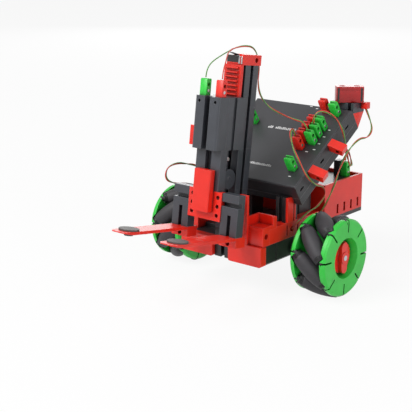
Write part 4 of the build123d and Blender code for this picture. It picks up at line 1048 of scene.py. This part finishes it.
def add_plug(bm, axes):
    """A plug: a block with a cross hole through it, a notch in its top and a screw in each side."""
    wide, deep, high = PLUG[0] / 2, PLUG[1] / 2, PLUG[2]
    outline = [
        (-deep, 0),
        (deep, 0),
        (deep, high - 1.4),
        (deep - 0.6, high - 0.6),
        (0.9, high - 0.6),
        (0.9, high - 1.5),
        (-0.9, high - 1.5),
        (-0.9, high - 0.6),
        (0.6 - deep, high - 0.6),
        (-deep, high - 1.4),
    ]
    hole = (0, high * HOLE_UP, PLUG_HOLE)
    add_sheet(bm, outline, [hole], (-wide, wide), axes @ SIDEWAYS)
    for side in (1, -1):
        spot = Matrix.Translation((side * wide, 0, high * SCREW_UP)) @ facing_out(side)
        add_turned(bm, SCREW, axes @ spot, 16, lambda number: 1)


# %% All the plugs
PLUG_NODES = {
    "plugs_green": (green_abs, "root", "green_plastic"),
    "plugs_red": (red_abs, "root", "red_plastic"),
    "lift_plug_green": (green_abs, "lift_carriage", "green_plastic"),
    "lift_plug_red": (red_abs, "lift_carriage", "red_plastic"),
}
for node, (finish, body, slot) in PLUG_NODES.items():
    bm = bmesh.new()
    places = [plug_axes(points, [face_axes, floor_axes, mast_axes]) for points in loose_parts(node)]
    for axes in places:
        add_plug(bm, axes)
    add_piece(node + "_bodies", bm, Matrix(), [finish, axle_steel], body, [node])
    print(node, len(places), "plugs")

# %% [markdown]
# ## Sensor head
#
# The head on the controller's rear corner is a dark red box turned to one side. It stands on a
# grey block, and a bright red wedge levels that block against the sloping controller.

# %% Head box, wedge and plug
head_parts = sorted(loose_parts("sensor_head"), key=lambda points: -max(p.z for p in points))
HEAD = (21.0, 9.5, 12.3)
HEAD_TURN = 40
HEAD_HOLES = [(-5.5, 0, 2.1), (5.5, 0, 2.1)]
LID = 3.0  # depth of the lid that has the holes
LID_OVERLAP = 0.4
HEAD_EDGE = 0.4
BAND = (2.4, 1.0)  # distances of a band's two edges from the head's end
BAND_THICK = 0.12
box_points, other_parts = head_parts[0], head_parts[1:]
low, high = box_in(box_points, floor_axes)
head_axes = (
    floor_axes
    @ Matrix.Translation(((low.x + high.x) / 2, (low.y + high.y) / 2, low.z))
    @ Matrix.Rotation(radians(HEAD_TURN), 4, "Z")
)
half_x, half_y, tall = HEAD[0] / 2, HEAD[1] / 2, HEAD[2]
plan = rectangle((-half_x, half_x), (-half_y, half_y))
bm = bmesh.new()
add_sheet(bm, plan, [], (0, tall - LID), rounding=HEAD_EDGE)
add_sheet(bm, plan, HEAD_HOLES, (tall - LID - LID_OVERLAP, tall), rounding=HEAD_EDGE)
add_piece("sensor_head_box", bm, head_axes, [dark_red_abs], "root", ["sensor_head"])

bm = bmesh.new()
for side in (1, -1):
    for front in (1, -1):
        along = sorted(side * (half_x - edge) for edge in BAND)
        out = sorted((front * half_y, front * (half_y + BAND_THICK)))
        add_prism(bm, rectangle(along, out), 1.0, tall - 1.0)
add_piece("sensor_head_bands", bm, head_axes, [black_abs], "root", ["sensor_head"])

bm = bmesh.new()
for points in other_parts:
    hull = bmesh.new()
    for point in points:
        hull.verts.new(floor_axes.inverted() @ point)
    bmesh.ops.convex_hull(hull, input=hull.verts)
    bmesh.ops.dissolve_limit(hull, angle_limit=radians(2), verts=hull.verts, edges=hull.edges)
    round_edges(hull, 0.3)
    mesh = bpy.data.meshes.new("hull")
    hull.to_mesh(mesh)
    hull.free()
    bm.from_mesh(mesh)
    bpy.data.meshes.remove(mesh)
add_piece("sensor_head_wedge", bm, floor_axes, [red_abs], "root", ["sensor_head"])

# %% [markdown]
# ## Drive of the lift
#
# Between the mast and the front plate one looks into the lift's drive: two steel pin ends shine in
# front of a black housing. CAD leaves that gap empty, so the housing and its pins are added here.

# %% Housing and steel pins
CHEEK = [(-20.4, 51.6), (-9.6, 56.0), (-9.6, 65.2), (-20.4, 65.2)]
CHEEK_SIDES = (2.6, 5.4)
PIN_PLACES = ((11.5, 58.5), (18.1, 54.6))  # ahead of the mast, up the mast
PIN_END = [(0, 0), (1.7, 0), (1.7, 2.2), (1.3, 2.6), (0, 2.6)]
bm = bmesh.new()
for side in (1, -1):
    near, far = sorted(side * x for x in CHEEK_SIDES)
    add_prism(bm, CHEEK, near, far, SIDEWAYS)
round_edges(bm, 0.4)
add_piece("lift_drive_housing", bm, mast_axes, [black_abs], "lift_carriage")

bm = bmesh.new()
for side in (1, -1):
    for ahead, up in PIN_PLACES:
        spot = Matrix.Translation((side * 5.2, -ahead, up)) @ facing_out(side)
        add_turned(bm, PIN_END, spot, 24)
add_piece("lift_drive_pins", bm, mast_axes, [axle_steel], "lift_carriage")

# %% [markdown]
# ## Contacts of the end-stop switch
#
# Two bright strips stand in front of the cap on the mast, beside the black switch in its pocket.
# They are bent from spring steel on the real switch. Each is a flat strip with rounded edges.

# %% Contact strips
STRIP = (1.2, 5.4, 0.5)  # wide, high, thick
STRIP_HOLE = 0.3
bm = bmesh.new()
for across in (3.9, 6.1):
    outline = rectangle((across - STRIP[0] / 2, across + STRIP[0] / 2), (0, STRIP[1]))
    add_sheet(bm, outline, [(across, 4.2, STRIP_HOLE)], (0, STRIP[2]), rounding=0.1)
facing = Matrix.Translation((0, -3.4, 126.3)) @ Matrix.Rotation(radians(90), 4, "X")
bm.transform(facing)
add_piece("switch_contacts", bm, mast_axes, [axle_steel], "root")

# %% [markdown]
# ## Marks on the controller
#
# The controller's face carries printing in white ink. The real words are a maker's, so none of them
# is drawn. Small plain dashes stand beside the sockets, and rows of plain bars where the words are,
# so the face keeps the look of printing without saying anything.

# %% White ink
SCREEN_MM = 0.4  # mesh of the printing screen, drawn coarse so that it shows


def screen_ink(name, colour):
    """Ink pressed through a screen: matt, thin, a little ragged in tone."""
    material, tree = new_material(name)
    mm = object_mm(tree)
    mesh_marks = add_node(
        tree,
        "ShaderNodeTexNoise",
        {"Vector": mm, "Scale": 1 / SCREEN_MM, "Detail": 1.0},
    )
    tint = add_node(
        tree,
        "ShaderNodeMix",
        {0: mesh_marks.outputs["Fac"], 6: srgb("#C9C9C9"), 7: srgb(colour)},
        data_type="RGBA",
    )
    shader = add_node(
        tree,
        "ShaderNodeBsdfPrincipled",
        {"Base Color": tint.outputs[2], "Roughness": 0.6},
    )
    add_node(tree, "ShaderNodeOutputMaterial", {"Surface": shader.outputs[0]})
    return material


white_ink = screen_ink("white_screen_ink", "#F4F4F4")

# %% Dashes and rows of bars
DASH = (2.2, 0.8)
DASHES = [
    (9.1, 84.0),
    (15.1, 82.5),
    (38.4, 46.2),
    (38.4, 54.0),
    (38.4, 61.8),
    (33.2, 36.4),
    (38.0, 39.6),
    (34.3, 9.5),
]
BAR = (1.0, 1.6)  # width of an upright bar, and from one bar to the next
BAR_ROWS = (  # first and last bar, place up the slope, height
    (-14.5, -9.0, 56.0, 2.6),
    (-7.5, 12.5, 56.3, 2.6),
    (-7.0, 14.5, 16.3, 2.2),
)
INK = (-0.02, 0.06)  # the ink's lower and upper side
bm = bmesh.new()
for x, up in DASHES:
    outline = rectangle((x - DASH[0] / 2, x + DASH[0] / 2), (up - DASH[1] / 2, up + DASH[1] / 2))
    add_prism(bm, outline, *INK)
for first, last, up, tall in BAR_ROWS:
    for k in range(round((last - first) / BAR[1])):
        x = first + k * BAR[1]
        high = tall * (1.0 if k % 3 else 0.7)
        add_prism(bm, rectangle((x, x + BAR[0]), (up - tall / 2, up - tall / 2 + high)), *INK)
add_piece("controller_marks", bm, face_axes, [white_ink], "root")
print(len(DASHES), "dashes and", len(BAR_ROWS), "rows of bars")
